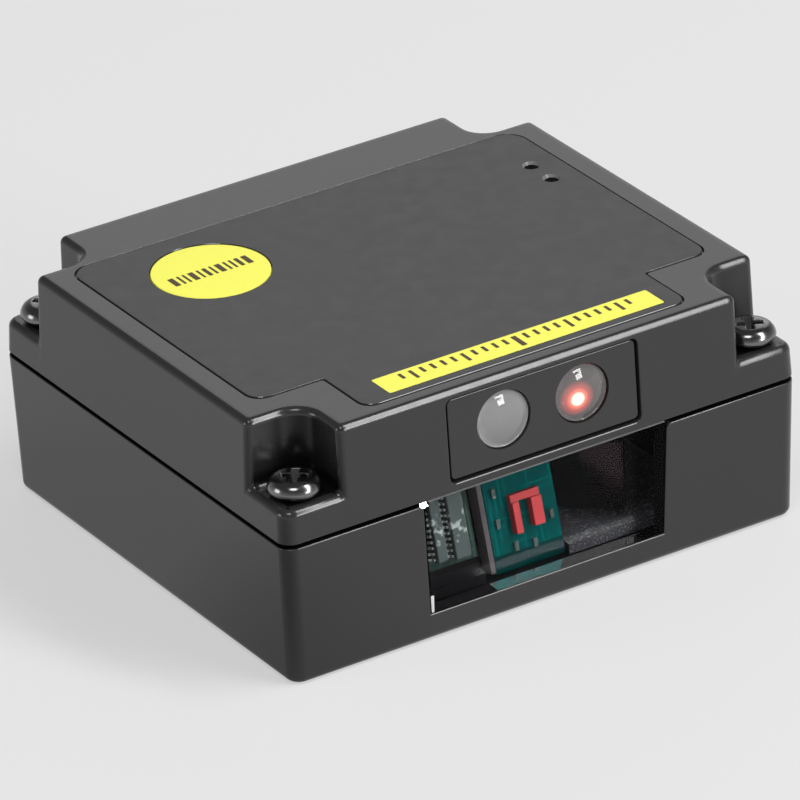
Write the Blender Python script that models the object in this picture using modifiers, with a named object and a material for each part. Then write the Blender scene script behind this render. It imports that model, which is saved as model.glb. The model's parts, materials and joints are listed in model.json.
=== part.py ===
"""Compact fixed-mount laser scanner module, built as the assembly that comes apart on a bench.

A drafted base tray holds the optical engine behind a clear exit window. A cover with four screw pockets
closes it, and carries the membrane overlay, the scan button, the trigger sensor plate and the decoder board.
The laser fires along +X onto an oscillating mirror, which sweeps the line out through the window.

Frame: metres, +Z up, the window faces -Y, and the origin is at the middle of the underside.
"""

import math

import bmesh
import bpy
from mathutils import Matrix, Vector

MM = 0.001

# Driving dimensions of the housing
WIDTH = 50.0 * MM
DEPTH = 44.6 * MM
HEIGHT = 22.0 * MM
SEAM_HEIGHT = 12.8 * MM
SEAM_GAP = 0.3 * MM
CORNER_RADIUS = 1.3 * MM
FOOT_RADIUS = 0.7 * MM
RIM_ROUND = 0.25 * MM
COVER_ROUND = 0.6 * MM
FOOT_INSET = 0.32 * MM
TOP_INSET = 0.39 * MM
WALL = 1.8 * MM
FLOOR = 1.6 * MM
ROOF = 1.2 * MM
FIT_GAP = 0.1 * MM
OVERCUT = 1.0 * MM
BASE_RIM = SEAM_HEIGHT - SEAM_GAP / 2
COVER_RIM = SEAM_HEIGHT + SEAM_GAP / 2
ROOF_UNDERSIDE = HEIGHT - ROOF
CAVITY_X = WIDTH / 2 - WALL
CAVITY_Y = DEPTH / 2 - WALL
TRIM_DROP = 3.0 * MM

# Screw pockets in the cover's corners, and the tongue that keys the two halves
POCKET_X = 19.3 * MM
POCKET_Y = 16.6 * MM
POCKET_RADIUS = 2.2 * MM
POCKET_FLOOR = 15.85 * MM
POCKET_REACH = 3.0 * MM
CORNER_WALL = 0.3 * MM
SCREW_X = 22.15 * MM
SCREW_Y = 19.45 * MM
NOTCH_SPLAY = 0.06 * MM
TONGUE_INSET = 0.95 * MM
TONGUE_HEIGHT = 0.65 * MM
TONGUE_GAP = 0.6 * MM
TONGUE_PLAY = 0.15 * MM
RECESS_HEIGHT = 0.55 * MM

# Fasteners: small pan heads, M2.5 in the cover and M2 inside
COVER_SCREW = dict(head=2.25 * MM, rise=1.7 * MM, shank=1.2 * MM, length=10.0 * MM, cross=0.62 * MM)
SMALL_SCREW = dict(head=1.7 * MM, rise=1.2 * MM, shank=0.8 * MM, length=4.2 * MM, cross=0.5 * MM)
CHASSIS_SCREW = {**SMALL_SCREW, "length": 3.4 * MM}
CROWN_SHARES = ((0.0, 1.0), (0.55, 0.94), (0.88, 0.66), (1.0, 0.2), (0.96, 0.0))
TIP_SHARE = 0.5
CROSS_REACH_SHARE = 0.6
CROSS_FLOOR_SHARE = 0.45
SCREW_CLEARANCE = 0.2 * MM
PILOT_CLEARANCE = 0.12 * MM
PILOT_FOOT = 4.5 * MM
SCREW_HOLE_TOP = 18.0 * MM

# Openings in the base: beam window at the front, cable bush at the rear
WINDOW_FOOT = 2.4 * MM
WINDOW_TOP = SEAM_HEIGHT + 1.5 * MM
WINDOW_WIDTH_LOW = 22.9 * MM
WINDOW_WIDTH_HIGH = 23.8 * MM
WINDOW_REACH = 5.0 * MM
PANE_THICKNESS = 1.0 * MM
PANE_OVERLAP = 1.1 * MM
PANE_EDGE = 0.1 * MM
PANE_SETBACK = 0.15 * MM
PLUG_RECESS = 0.2 * MM
PLUG_DEPTH = 2.0 * MM
PLUG_TOP = SEAM_HEIGHT + 0.05 * MM
RAIL_GAP = 0.2 * MM
RAIL_WIDTH = 1.0 * MM
RAIL_DEPTH = 1.3 * MM
RAIL_SUNK = 0.5 * MM
RAIL_TOP = 11.0 * MM
BUSH_X = 12.0 * MM
BUSH_Z = 8.6 * MM
BUSH_RADIUS = 4.1 * MM
BUSH_BORE = 3.1 * MM
BUSH_FLANGE = 0.8 * MM
BUSH_FLANGE_DEPTH = 1.2 * MM
BUSH_GAP = 0.15 * MM
BUSH_LID_GAP = 0.05 * MM
BUSH_DEPTH = WALL + 0.6 * MM
BUSH_SUNK = 0.15 * MM
BUSH_NOTCH_DEPTH = 6.0 * MM
BUSH_BORE_REACH = 10.0 * MM

# Overlay film on the cover, with its two stepped front corners
FILM_X = 22.1 * MM
FILM_BACK = 15.5 * MM
FILM_STEP_Y = -13.9 * MM
FILM_TONGUE_X = 15.6 * MM
FILM_FRONT = -20.3 * MM
FILM_REAR_RADIUS = 2.0 * MM
FILM_SIDE_RADIUS = 1.5 * MM
FILM_TONGUE_RADIUS = 1.3 * MM
FILM_THICKNESS = 0.25 * MM
FILM_RECESS = 0.35 * MM
FILM_DROP = 0.05 * MM
FILM_GAP = 0.12 * MM
FILM_TOP = HEIGHT - FILM_DROP
LIGHT_AT = ((19.55 * MM, 5.7 * MM), (19.55 * MM, 8.8 * MM))
LIGHT_HOLE = 0.8 * MM
ROOF_HOLE_FOOT = 19.0 * MM

# Scan button, its plunger and the switch under it
BUTTON_AT = (-12.64 * MM, 8.26 * MM)
BUTTON_RADIUS = 5.05 * MM
BUTTON_CLEARANCE = 0.15 * MM
BUTTON_TOP = FILM_TOP - 0.02 * MM
BUTTON_EDGE = 0.15 * MM
BUTTON_FLANGE = 0.9 * MM
BUTTON_FLANGE_DEPTH = 0.7 * MM
STEM_RADIUS = 1.6 * MM
STEM_FOOT = 18.6 * MM
PLUNGER_RADIUS = 1.7 * MM
PLUNGER_TOP = 18.5 * MM
PLUNGER_FOOT = 17.2 * MM
PLUNGER_BORE_FOOT = 16.6 * MM
SWITCH_HALF = 3.0 * MM
SWITCH_TOP = 17.7 * MM

# Trigger sensor behind the cover's front wall, placed along the leaning wall
SENSOR_HEIGHT = 17.45 * MM
SENSOR_WIDTH = 18.2 * MM
SENSOR_RISE = 7.1 * MM
SENSOR_CORNER = 0.6 * MM
SENSOR_PLATE = 2.35 * MM
SENSOR_RECESS = 0.15 * MM
OPENING_CORNER = 0.7 * MM
OPENING_DEPTH = 3.2 * MM
PLATE_BACK = -SENSOR_RECESS - SENSOR_PLATE
FLANGE_THICKNESS = 0.55 * MM
FLANGE_WIDER = 0.8 * MM
FLANGE_LOW = -3.9 * MM
FLANGE_HIGH = 3.1 * MM
LENS_X = 3.8 * MM
LENS_UP = 0.3 * MM
LENS_RADIUS = 2.5 * MM
LENS_SAG = 0.33 * MM
LENS_FLANGE = 0.4 * MM
LENS_BACK = PLATE_BACK - 0.65 * MM
LENS_HOLE_REACH = 4.0 * MM
HOLDER_FRONT = LENS_BACK - 0.2 * MM
HOLDER_BACK = LENS_BACK - 4.7 * MM
HOLDER_HALF_WIDTH = 8.0 * MM
HOLDER_LOW = -2.9 * MM
HOLDER_HIGH = 3.05 * MM
HOLDER_BORE_REACH = 12.0 * MM
LAMP_RADIUS = LENS_RADIUS - FIT_GAP
LAMP_TIP = HOLDER_FRONT - 0.4 * MM
LAMP_FLANGE = 0.35 * MM
LAMP_FLANGE_DEPTH = 0.8 * MM

# Decoder board hung from three posts under the cover's roof, and what it carries
BOARD_TOP = 14.2 * MM
BOARD_THICKNESS = 1.0 * MM
BOARD_DEPTH = 37.6 * MM
BOARD_SIDE_GAP = 0.8 * MM
BOARD_CORNER_GAP = 0.6 * MM
BOARD_CORNER_RADIUS = 4.2 * MM
BOARD_SEAT = BOARD_TOP + FIT_GAP
BOARD_UNDER = BOARD_TOP - BOARD_THICKNESS - FIT_GAP
POST_RADIUS = 2.1 * MM
POSTS = ((-18.5 * MM, -7.0 * MM), (18.5 * MM, -7.0 * MM), (2.0 * MM, 15.5 * MM))
CHIP_LOW = (0.0, -10.0 * MM)
CHIP_HIGH = (9.0 * MM, -1.0 * MM)
CHIP_HEIGHT = 1.2 * MM
BUZZER_AT = (7.0 * MM, 7.5 * MM)
BUZZER_RADIUS = 4.5 * MM
BUZZER_HEIGHT = 4.5 * MM
BUZZER_EDGE = 0.3 * MM
BUZZER_PORT = 1.0 * MM
BUZZER_PORT_DEPTH = 0.7 * MM
HEADER_LOW = (8.0 * MM, 9.0 * MM)
HEADER_HIGH = (16.0 * MM, 13.0 * MM)
HEADER_DROP = 3.6 * MM
SOCKET_LOW = (-11.0 * MM, -8.0 * MM)
SOCKET_HIGH = (-5.0 * MM, -4.2 * MM)
SOCKET_DROP = 1.5 * MM
STATUS_HALF_X = 1.0 * MM
STATUS_HALF_Y = 0.6 * MM
STATUS_HEIGHT = 0.8 * MM
PIPE_TOP = HEIGHT - 0.9 * MM
PIPE_COLLAR = 0.4 * MM
PIPE_COLLAR_DEPTH = 0.6 * MM
PIPE_FOOT = BOARD_SEAT + 1.0 * MM

# Optical engine in the base: the tray and its posts
ENGINE_LEAN = math.radians(-15.0)
TRAY_LEFT = -14.0 * MM
TRAY_RIGHT = 18.0 * MM
TRAY_FRONT = -19.0 * MM
TRAY_BACK = -1.4 * MM
TRAY_LOW = FLOOR + 0.3 * MM
TRAY_TOP = 2.9 * MM
TRAY_INSET = 0.1 * MM
TRAY_WALL = 1.2 * MM
TRAY_WALL_TOP = 11.4 * MM
POST_X = (-12.9 * MM, -3.45 * MM)
POST_HALF_WIDTH = 0.22 * MM
POST_FRONT = -0.5 * MM
POST_BACK = 0.9 * MM
POST_FOOT = -0.75 * MM
POST_RISE = 7.6 * MM
NOTCH_LEFT = -4.45 * MM
NOTCH_BACK = -17.4 * MM
STEP_LOW = (-11.4 * MM, -18.9 * MM)
STEP_HIGH = (-5.0 * MM, -17.7 * MM)
STEP_TOP = 4.0 * MM
SADDLE_LOW = (-11.5 * MM, -15.6 * MM)
SADDLE_HIGH = (-6.0 * MM, -10.0 * MM)
SADDLE_TOP = 5.4 * MM
EARS = ((-16.6 * MM, -8.0 * MM), (20.4 * MM, -13.6 * MM))
EAR_TOP = 5.2 * MM
EAR_THICKNESS = 1.0 * MM
EAR_HALF = 1.9 * MM
EAR_REACH = 2.0 * MM
EAR_ROOT = 0.9 * MM
EAR_POST_RADIUS = 1.9 * MM
RISER_HALF = 2.0 * MM
RISER_INSET = 0.01 * MM
RISER_DROP = 0.02 * MM

# Leaning boards behind the window
BOARD_FOOT_Y = -18.0 * MM
LEAN_BOARD_HALF = 0.4 * MM
LEAN_BOARD_TOP = 8.6 * MM
RECEIVER_X = 0.25 * MM
RECEIVER_HALF_WIDTH = 3.35 * MM
RECEIVER_FOOT = -1.0 * MM
RECEIVER_SIDE_GAP = 0.12 * MM
CLIP_LEFT = -1.25 * MM
CLIP_RIGHT = 1.58 * MM
CLIP_TOP = 5.3 * MM
CLIP_SHOULDER = 4.65 * MM
CLIP_SLOT = (-0.6 * MM, 0.55 * MM)
CLIP_LONG_LEG = 2.0 * MM
CLIP_SHORT_LEG = 2.2 * MM
CLIP_STEP = (0.2 * MM, 0.4 * MM)
CLIP_THICKNESS = 0.8 * MM
DIODE_HALF_WIDTH = 1.6 * MM
DIODE_LOW = 3.0 * MM
DIODE_HIGH = 6.0 * MM
DIODE_DEPTH = 1.0 * MM
FILTER_BORDER = 0.3 * MM
FILTER_DEPTH = 0.5 * MM
SIGNAL_X = -8.45 * MM
SIGNAL_HALF_WIDTH = 3.85 * MM
SIGNAL_FOOT = 1.1 * MM
SIGNAL_CHIPS = {
    "gain_chip": dict(x=0.2 * MM, low=1.8 * MM, width=1.0 * MM),
    "driver_chip": dict(x=2.15 * MM, low=1.6 * MM, width=1.45 * MM),
}
SIGNAL_CHIP_TOP = 7.4 * MM
SIGNAL_CHIP_DEPTH = 0.9 * MM

# Laser source, collector and oscillating mirror
BEAM_Y = -12.8 * MM
BEAM_Z = 6.6 * MM
LASER_X = -12.5 * MM
BARREL_LENGTH = 8.0 * MM
BARREL_RADIUS = 3.0 * MM
BARREL_BORE = 2.0 * MM
BARREL_EDGE = 0.3 * MM
BARREL_GROOVE = 0.35 * MM
BARREL_GROOVE_LOW = 1.4 * MM
BARREL_GROOVE_HIGH = 2.2 * MM
BARREL_BED_AT = -9.0 * MM
BARREL_BED_REACH = 10.0 * MM
LENS_BALL = 2.6 * MM
LENS_BALL_AT = 4.6 * MM
COLLIMATOR_FLAT = 5.6 * MM
CAN_RADIUS = 1.6 * MM
CAN_TOP = 2.6 * MM
CAN_FLANGE = 2.8 * MM
CAN_FLANGE_TOP = -0.1 * MM
CAN_FLANGE_LOW = -1.1 * MM
COLLECTOR_X = -2.0 * MM
COLLECTOR_DEPTH = 1.8 * MM
COLLECTOR_FRONT = -2.3 * MM
COLLECTOR_REAR = 3.7 * MM
COLLECTOR_HALF_HEIGHT = 3.6 * MM
DISH_RADIUS = 20.0 * MM
DISH_DEPTH = 0.6 * MM
DISH_REACH = 5.6 * MM
DISH_TOP = 3.0 * MM
BEAM_HOLE = 1.2 * MM
BEAM_HOLE_REACH = 5.0 * MM
PIVOT_X = 9.0 * MM
MIRROR_TURN = math.radians(-45.0)
MIRROR_WIDTH = 8.5 * MM
MIRROR_HEIGHT = 6.4 * MM
MIRROR_LOW = BEAM_Z - MIRROR_HEIGHT / 2
MIRROR_HIGH = BEAM_Z + MIRROR_HEIGHT / 2
MIRROR_FRONT = -2.6 * MM
MIRROR_BACK = -1.8 * MM
CARRIER_FRONT = -1.7 * MM
CARRIER_BACK = -0.9 * MM
CARRIER_BORDER = 0.4 * MM
HUB_RADIUS = 1.6 * MM
TAIL_HALF_WIDTH = 0.9 * MM
TAIL_HALF_HEIGHT = 1.2 * MM
TAIL_START = 0.8 * MM
TAIL_END = 4.2 * MM
MAGNET_HALF_WIDTH = 1.4 * MM
MAGNET_HALF_HEIGHT = 1.5 * MM
MAGNET_START = 4.3 * MM
MAGNET_END = 6.0 * MM
PIN_RADIUS = 0.6 * MM
PIN_EDGE = 0.1 * MM
PIN_FOOT = 2.0 * MM
PIN_TOP = 10.9 * MM
PIN_HOLE_TOP = 4.0 * MM
PIVOT_BOSS = 1.7 * MM
PIVOT_BOSS_RISE = 0.35 * MM
RING_RADIUS = 1.4 * MM
RING_HEIGHT = 0.4 * MM
RING_GAP = 0.05 * MM
RING_LIFT = 0.15 * MM
COIL_REACH = 7.2 * MM
COIL_RADIUS = 2.7 * MM
COIL_LENGTH = 3.0 * MM
COIL_CORE = 1.0 * MM
COIL_RIM = 0.4 * MM
COIL_FACING = (math.radians(-90), 0, MIRROR_TURN)
WINDING_DROP = 0.2 * MM
CRADLE_HALF = 1.6 * MM
CRADLE_INSET = 0.2 * MM
CRADLE_TOP = 5.2 * MM

# Flat ribbon between the boards
RIBBON_X = -8.0 * MM
RIBBON_HALF_WIDTH = 2.0 * MM
RIBBON_THICKNESS = 0.25 * MM
RIBBON_START = (0.68 * MM, 6.0 * MM)
RIBBON_END = (-8.3 * MM, 12.4 * MM)
RIBBON_RISE = 2.8 * MM
RIBBON_REACH = -3.0 * MM
RIBBON_STEPS = 10

# Threaded inserts in the underside
INSERT_AT = ((-15.0 * MM, 9.0 * MM), (15.0 * MM, 9.0 * MM))
INSERT_RADIUS = 2.05 * MM
INSERT_BORE = 1.25 * MM
INSERT_LENGTH = 4.05 * MM
INSERT_SUNK = 0.15 * MM
INSERT_GROOVE = 0.3 * MM
INSERT_GROOVE_HALF = 0.4 * MM
INSERT_HOLE_TOP = 4.6 * MM
INSERT_BOSS = 3.3 * MM
INSERT_BOSS_TOP = 6.2 * MM

# Rounding steps and small edges
CORNER_STEPS = 5
ARC_STEPS = 4
BUSH_STEPS = 10
FOOT_STEPS = 3
COVER_STEPS = 3
BUTTON_SIDES = 36
HOLE_SIDES = 40
ROUND_SIDES = 28
TURNED_SIDES = 24
SMALL_SIDES = 18
LIGHT_SIDES = 16
TINY_SIDES = 12
CASE_EDGE = 0.3 * MM
CHIP_EDGE = 0.2 * MM
FINE_EDGE = 0.15 * MM
MIRROR_EDGE = 0.12 * MM
HEADER_EDGE = 0.25 * MM
SMOOTH_ANGLE = math.radians(35.0)
FLAT_ANGLE = math.radians(0.5)
MERGE_DISTANCE = 0.001 * MM
TURN_MERGE = 0.005 * MM
FRAME_SIZE = 5.0 * MM

# Finish name: colour, roughness, metallic
FINISHES = {
    "housing": ((0.075, 0.074, 0.075), 0.48, 0.0),
    "overlay": ((0.09, 0.09, 0.092), 0.5, 0.0),
    "button_yellow": ((0.93, 0.83, 0.06), 0.5, 0.0),
    "black_plastic": ((0.02, 0.02, 0.021), 0.5, 0.0),
    "screw_steel": ((0.22, 0.21, 0.2), 0.28, 1.0),
    "clear_lens": ((0.85, 0.87, 0.88), 0.08, 0.0),
    "emitter_red": ((0.85, 0.08, 0.05), 0.2, 0.0),
    "window_clear": ((0.8, 0.85, 0.85), 0.05, 0.0),
    "board_green": ((0.03, 0.16, 0.09), 0.45, 0.0),
    "board_teal": ((0.0, 0.21, 0.19), 0.42, 0.0),
    "clip_red": ((0.72, 0.06, 0.05), 0.45, 0.0),
    "chip_black": ((0.025, 0.025, 0.027), 0.4, 0.0),
    "part_grey": ((0.45, 0.48, 0.46), 0.4, 0.0),
    "white_plastic": ((0.75, 0.75, 0.72), 0.45, 0.0),
    "chassis": ((0.055, 0.055, 0.06), 0.5, 0.3),
    "mirror_glass": ((0.8, 0.82, 0.84), 0.05, 1.0),
    "brass": ((0.66, 0.5, 0.22), 0.3, 1.0),
    "copper": ((0.72, 0.32, 0.16), 0.35, 1.0),
    "magnet": ((0.45, 0.45, 0.46), 0.3, 1.0),
    "filter_red": ((0.35, 0.01, 0.02), 0.1, 0.0),
    "rubber": ((0.018, 0.018, 0.019), 0.75, 0.0),
    "ribbon": ((0.7, 0.72, 0.74), 0.4, 0.0),
}


# Scene, materials and collections

def clear_scene():
    for obj in list(bpy.data.objects):
        bpy.data.objects.remove(obj, do_unlink=True)


def collection(name):
    made = bpy.data.collections.new(name)
    bpy.context.scene.collection.children.link(made)
    return made


def finish(name):
    """The named material, made on first use."""
    if name in bpy.data.materials:
        return bpy.data.materials[name]
    colour, roughness, metallic = FINISHES[name]
    made = bpy.data.materials.new(name)
    made.use_nodes = True
    shader = made.node_tree.nodes["Principled BSDF"]
    shader.inputs["Base Color"].default_value = (*colour, 1.0)
    shader.inputs["Roughness"].default_value = roughness
    shader.inputs["Metallic"].default_value = metallic
    made.diffuse_color = (*colour, 1.0)
    return made


clear_scene()
PARTS = collection("laser_scanner_module")
CUTTERS = collection("cutters")
CUTTERS.hide_render = True


def empty(name, location, rotation=(0.0, 0.0, 0.0)):
    """A placing frame: the pieces parented to it are modelled around their own joint or face."""
    frame = bpy.data.objects.new(name, None)
    frame.location = location
    frame.rotation_euler = rotation
    frame.empty_display_size = FRAME_SIZE
    PARTS.objects.link(frame)
    return frame


def place(obj, location=(0, 0, 0), rotation=(0, 0, 0), parent=None):
    obj.location = location
    obj.rotation_euler = rotation
    obj.parent = parent
    return obj


def cutter(obj):
    """Sets an object aside as a tool: it cuts or joins, and isn't a piece of its own."""
    for user in list(obj.users_collection):
        user.objects.unlink(obj)
    CUTTERS.objects.link(obj)
    obj.hide_render = True
    obj.display_type = "WIRE"
    return obj


def piece(obj, name, finish_name):
    """Names a finished piece, gives it its material and smooths its round faces."""
    obj.name = name
    obj.data.name = name
    obj.data.materials.clear()
    obj.data.materials.append(finish(finish_name))
    if obj.type == "MESH":
        obj.data.shade_smooth()
        obj.data.set_sharp_from_angle(angle=SMOOTH_ANGLE)
    return obj


# Shapes

def mesh_object(name, mesh):
    data = bpy.data.meshes.new(name)
    mesh.to_mesh(data)
    mesh.free()
    obj = bpy.data.objects.new(name, data)
    PARTS.objects.link(obj)
    return obj


def block(name, low, high, round_edges=0.0, steps=2):
    """A box between two corners, with every edge rounded where asked."""
    low, high = Vector(low), Vector(high)
    mesh = bmesh.new()
    bmesh.ops.create_cube(mesh, size=1.0)
    size, middle = high - low, (high + low) / 2
    for vert in mesh.verts:
        vert.co = Vector(a * b for a, b in zip(vert.co, size)) + middle
    if round_edges:
        bmesh.ops.bevel(
            mesh, geom=mesh.edges[:], offset=round_edges, segments=steps, profile=0.5, affect="EDGES"
        )
    return mesh_object(name, mesh)


def drafted_block(name, bottom, top, z_low, z_high, corner_radius=CORNER_RADIUS, foot_radius=0.0):
    """A box with leaning walls: bottom and top are (width, depth), and the upright edges are rounded."""
    mesh = bmesh.new()
    bmesh.ops.create_cube(mesh, size=1.0)
    for vert in mesh.verts:
        upper = vert.co.z > 0
        width, depth = top if upper else bottom
        vert.co = (vert.co.x * width, vert.co.y * depth, z_high if upper else z_low)
    if corner_radius:
        upright = [e for e in mesh.edges if e.verts[0].co.z != e.verts[1].co.z]
        bmesh.ops.bevel(
            mesh, geom=upright, offset=corner_radius, segments=CORNER_STEPS, profile=0.5, affect="EDGES"
        )
    if foot_radius:
        foot = [e for e in mesh.edges if max(v.co.z for v in e.verts) < z_low + foot_radius / 2]
        bmesh.ops.bevel(mesh, geom=foot, offset=foot_radius, segments=FOOT_STEPS, profile=0.5, affect="EDGES")
    return mesh_object(name, mesh)


def cylinder(name, radius, z_low, z_high, at=(0.0, 0.0), sides=SMALL_SIDES):
    mesh = bmesh.new()
    bmesh.ops.create_cone(
        mesh, cap_ends=True, segments=sides, radius1=radius, radius2=radius, depth=z_high - z_low
    )
    bmesh.ops.translate(mesh, verts=mesh.verts, vec=(at[0], at[1], (z_low + z_high) / 2))
    return mesh_object(name, mesh)


def extruded(name, outline, z_low, z_high):
    """A flat outline with a thickness, made as a filled 2D curve and kept as a mesh."""
    curve = bpy.data.curves.new(name, "CURVE")
    curve.dimensions = "2D"
    curve.fill_mode = "BOTH"
    curve.extrude = (z_high - z_low) / 2
    spline = curve.splines.new("POLY")
    spline.points.add(len(outline) - 1)
    for point, (x, y) in zip(spline.points, outline):
        point.co = (x, y, 0.0, 1.0)
    spline.use_cyclic_u = True
    drawn = bpy.data.objects.new(name, curve)
    PARTS.objects.link(drawn)
    made = as_mesh(drawn)
    made.data.transform(Matrix.Translation((0, 0, (z_low + z_high) / 2)))
    return made


def as_mesh(obj):
    """The object as it is evaluated, kept as one plain mesh with its caps joined and flat faces whole."""
    bpy.context.view_layer.update()
    graph = bpy.context.evaluated_depsgraph_get()
    data = bpy.data.meshes.new_from_object(obj.evaluated_get(graph))
    mesh = bmesh.new()
    mesh.from_mesh(data)
    bmesh.ops.remove_doubles(mesh, verts=mesh.verts, dist=MERGE_DISTANCE)
    bmesh.ops.dissolve_limit(mesh, angle_limit=FLAT_ANGLE, verts=mesh.verts, edges=mesh.edges)
    bmesh.ops.recalc_face_normals(mesh, faces=mesh.faces)
    mesh.to_mesh(data)
    mesh.free()
    made = bpy.data.objects.new(obj.name, data)
    made.matrix_world = obj.matrix_world
    PARTS.objects.link(made)
    bpy.data.objects.remove(obj, do_unlink=True)
    return made


def turned(name, profile, sides=ROUND_SIDES, closed=False):
    """A turned shape about +Z: profile is (radius, height), down the outer side from top to bottom."""
    mesh = bmesh.new()
    verts = [mesh.verts.new((radius, 0.0, height)) for radius, height in profile]
    for first, second in zip(verts, verts[1:]):
        mesh.edges.new((first, second))
    if closed:
        mesh.edges.new((verts[-1], verts[0]))
    obj = mesh_object(name, mesh)
    screw = obj.modifiers.new("turn", "SCREW")
    screw.steps = sides
    screw.render_steps = sides
    screw.use_merge_vertices = True
    screw.merge_threshold = TURN_MERGE
    return obj


def boolean(obj, tool, operation="DIFFERENCE"):
    """Cuts obj with the tool, or joins the tool to it."""
    step = obj.modifiers.new(tool.name, "BOOLEAN")
    step.operation = operation
    step.object = cutter(tool)
    step.solver = "EXACT"
    return obj


def soften(obj, width, steps=2, angle=50.0):
    """Rounds the edges that are sharp at this point of the object's making."""
    step = obj.modifiers.new("rounded_edges", "BEVEL")
    step.width = width
    step.segments = steps
    step.limit_method = "ANGLE"
    step.angle_limit = math.radians(angle)
    return obj


def arc(centre, radius, start, end, steps=CORNER_STEPS):
    """Points along an arc, in degrees from +X."""
    points = []
    for step in range(steps + 1):
        angle = math.radians(start + (end - start) * step / steps)
        points.append((centre[0] + radius * math.cos(angle), centre[1] + radius * math.sin(angle)))
    return points


def rounded_rectangle(half_width, half_depth, radius, steps=ARC_STEPS):
    points = []
    for turn, (sx, sy) in enumerate(((1, 1), (-1, 1), (-1, -1), (1, -1))):
        centre = (sx * (half_width - radius), sy * (half_depth - radius))
        points += arc(centre, radius, 90 * turn, 90 * turn + 90, steps)
    return points


def notched_outline(half_width, half_depth, notch_x, notch_y, radius):
    """A rectangle with a round-cornered notch left out at each corner, its walls splayed for draft."""
    quarter = [(half_width, notch_y + NOTCH_SPLAY)]
    quarter += arc((notch_x + radius, notch_y + radius), radius, -90, -180)
    quarter += [(notch_x + NOTCH_SPLAY, half_depth)]
    outline = []
    for sx, sy in ((1, 1), (-1, 1), (-1, -1), (1, -1)):
        corner = [(sx * x, sy * y) for x, y in quarter]
        outline += corner if sx * sy > 0 else corner[::-1]
    return outline


def corners(x, y):
    """The four corner places, named as seen from above with the window in front."""
    return {
        "front_left": (-x, -y),
        "front_right": (x, -y),
        "rear_left": (-x, y),
        "rear_right": (x, y),
    }


def copies(first, names_and_places, finish_name, rotation=(0, 0, 0), parent=None):
    """Named copies of one solid that share its mesh, the first one included."""
    solid = as_mesh(first)
    data = solid.data
    bpy.data.objects.remove(solid, do_unlink=True)
    for name, location in names_and_places:
        obj = bpy.data.objects.new(name, data)
        PARTS.objects.link(obj)
        place(piece(obj, name, finish_name), location, rotation, parent)


# Housing

def front_wall(height):
    """Y of the cover's leaning front wall at a height."""
    return -(DEPTH / 2 - TOP_INSET * (height - SEAM_HEIGHT) / (HEIGHT - SEAM_HEIGHT))


def window_tool():
    tool = drafted_block(
        "window_cut",
        (WINDOW_WIDTH_LOW, WINDOW_REACH),
        (WINDOW_WIDTH_HIGH, WINDOW_REACH),
        WINDOW_FOOT,
        WINDOW_TOP,
        corner_radius=0,
    )
    return place(tool, (0, (WINDOW_REACH - DEPTH - OVERCUT) / 2, 0))


def bush_outline(grow=0.0):
    """Round-bottomed outline of the cable bush, in X and Z, with a flat top under the cover."""
    radius = BUSH_RADIUS + grow
    points = arc((0, 0), radius, -180, 0, BUSH_STEPS)
    top = SEAM_HEIGHT - BUSH_LID_GAP - BUSH_Z
    return points + [(radius, top), (-radius, top)]


def bush_shape(name, grow, depth, y_high):
    """The bush outline as a plug of the given depth whose outer end is at y_high."""
    shape = extruded(name, bush_outline(grow), 0, depth)
    return place(shape, (BUSH_X, y_high, BUSH_Z), (math.radians(90), 0, 0))


def rim_tongue():
    """The raised inner lip that keys the cover, open a little wider than the window and the cable bush."""
    size = [side - 2 * TONGUE_INSET for side in (WIDTH, DEPTH)]
    tongue = drafted_block("tongue", size, size, BASE_RIM - OVERCUT, BASE_RIM + TONGUE_HEIGHT)
    front = WINDOW_WIDTH_HIGH / 2 + TONGUE_GAP
    rear = BUSH_RADIUS + TONGUE_GAP
    boolean(tongue, block("tongue_front", (-front, -DEPTH, 0), (front, -OVERCUT, HEIGHT)))
    boolean(tongue, block("tongue_rear", (BUSH_X - rear, OVERCUT, 0), (BUSH_X + rear, DEPTH, HEIGHT)))
    return tongue


def base_housing():
    foot = (WIDTH - 2 * FOOT_INSET, DEPTH - 2 * FOOT_INSET)
    base = drafted_block("base", foot, (WIDTH, DEPTH), 0, BASE_RIM, foot_radius=FOOT_RADIUS)
    boolean(base, window_tool())
    boolean(base, bush_shape("bush_notch", BUSH_GAP, BUSH_NOTCH_DEPTH, DEPTH / 2 + 2 * OVERCUT))
    soften(base, RIM_ROUND)

    boolean(base, rim_tongue(), "UNION")
    post = (POCKET_X - CORNER_WALL, POCKET_Y - CORNER_WALL)
    hollow = notched_outline(CAVITY_X, CAVITY_Y, *post, POCKET_RADIUS)
    boolean(base, extruded("base_hollow", hollow, FLOOR, HEIGHT))
    base_details(base)
    piece(base, "base_housing", "housing")


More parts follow.
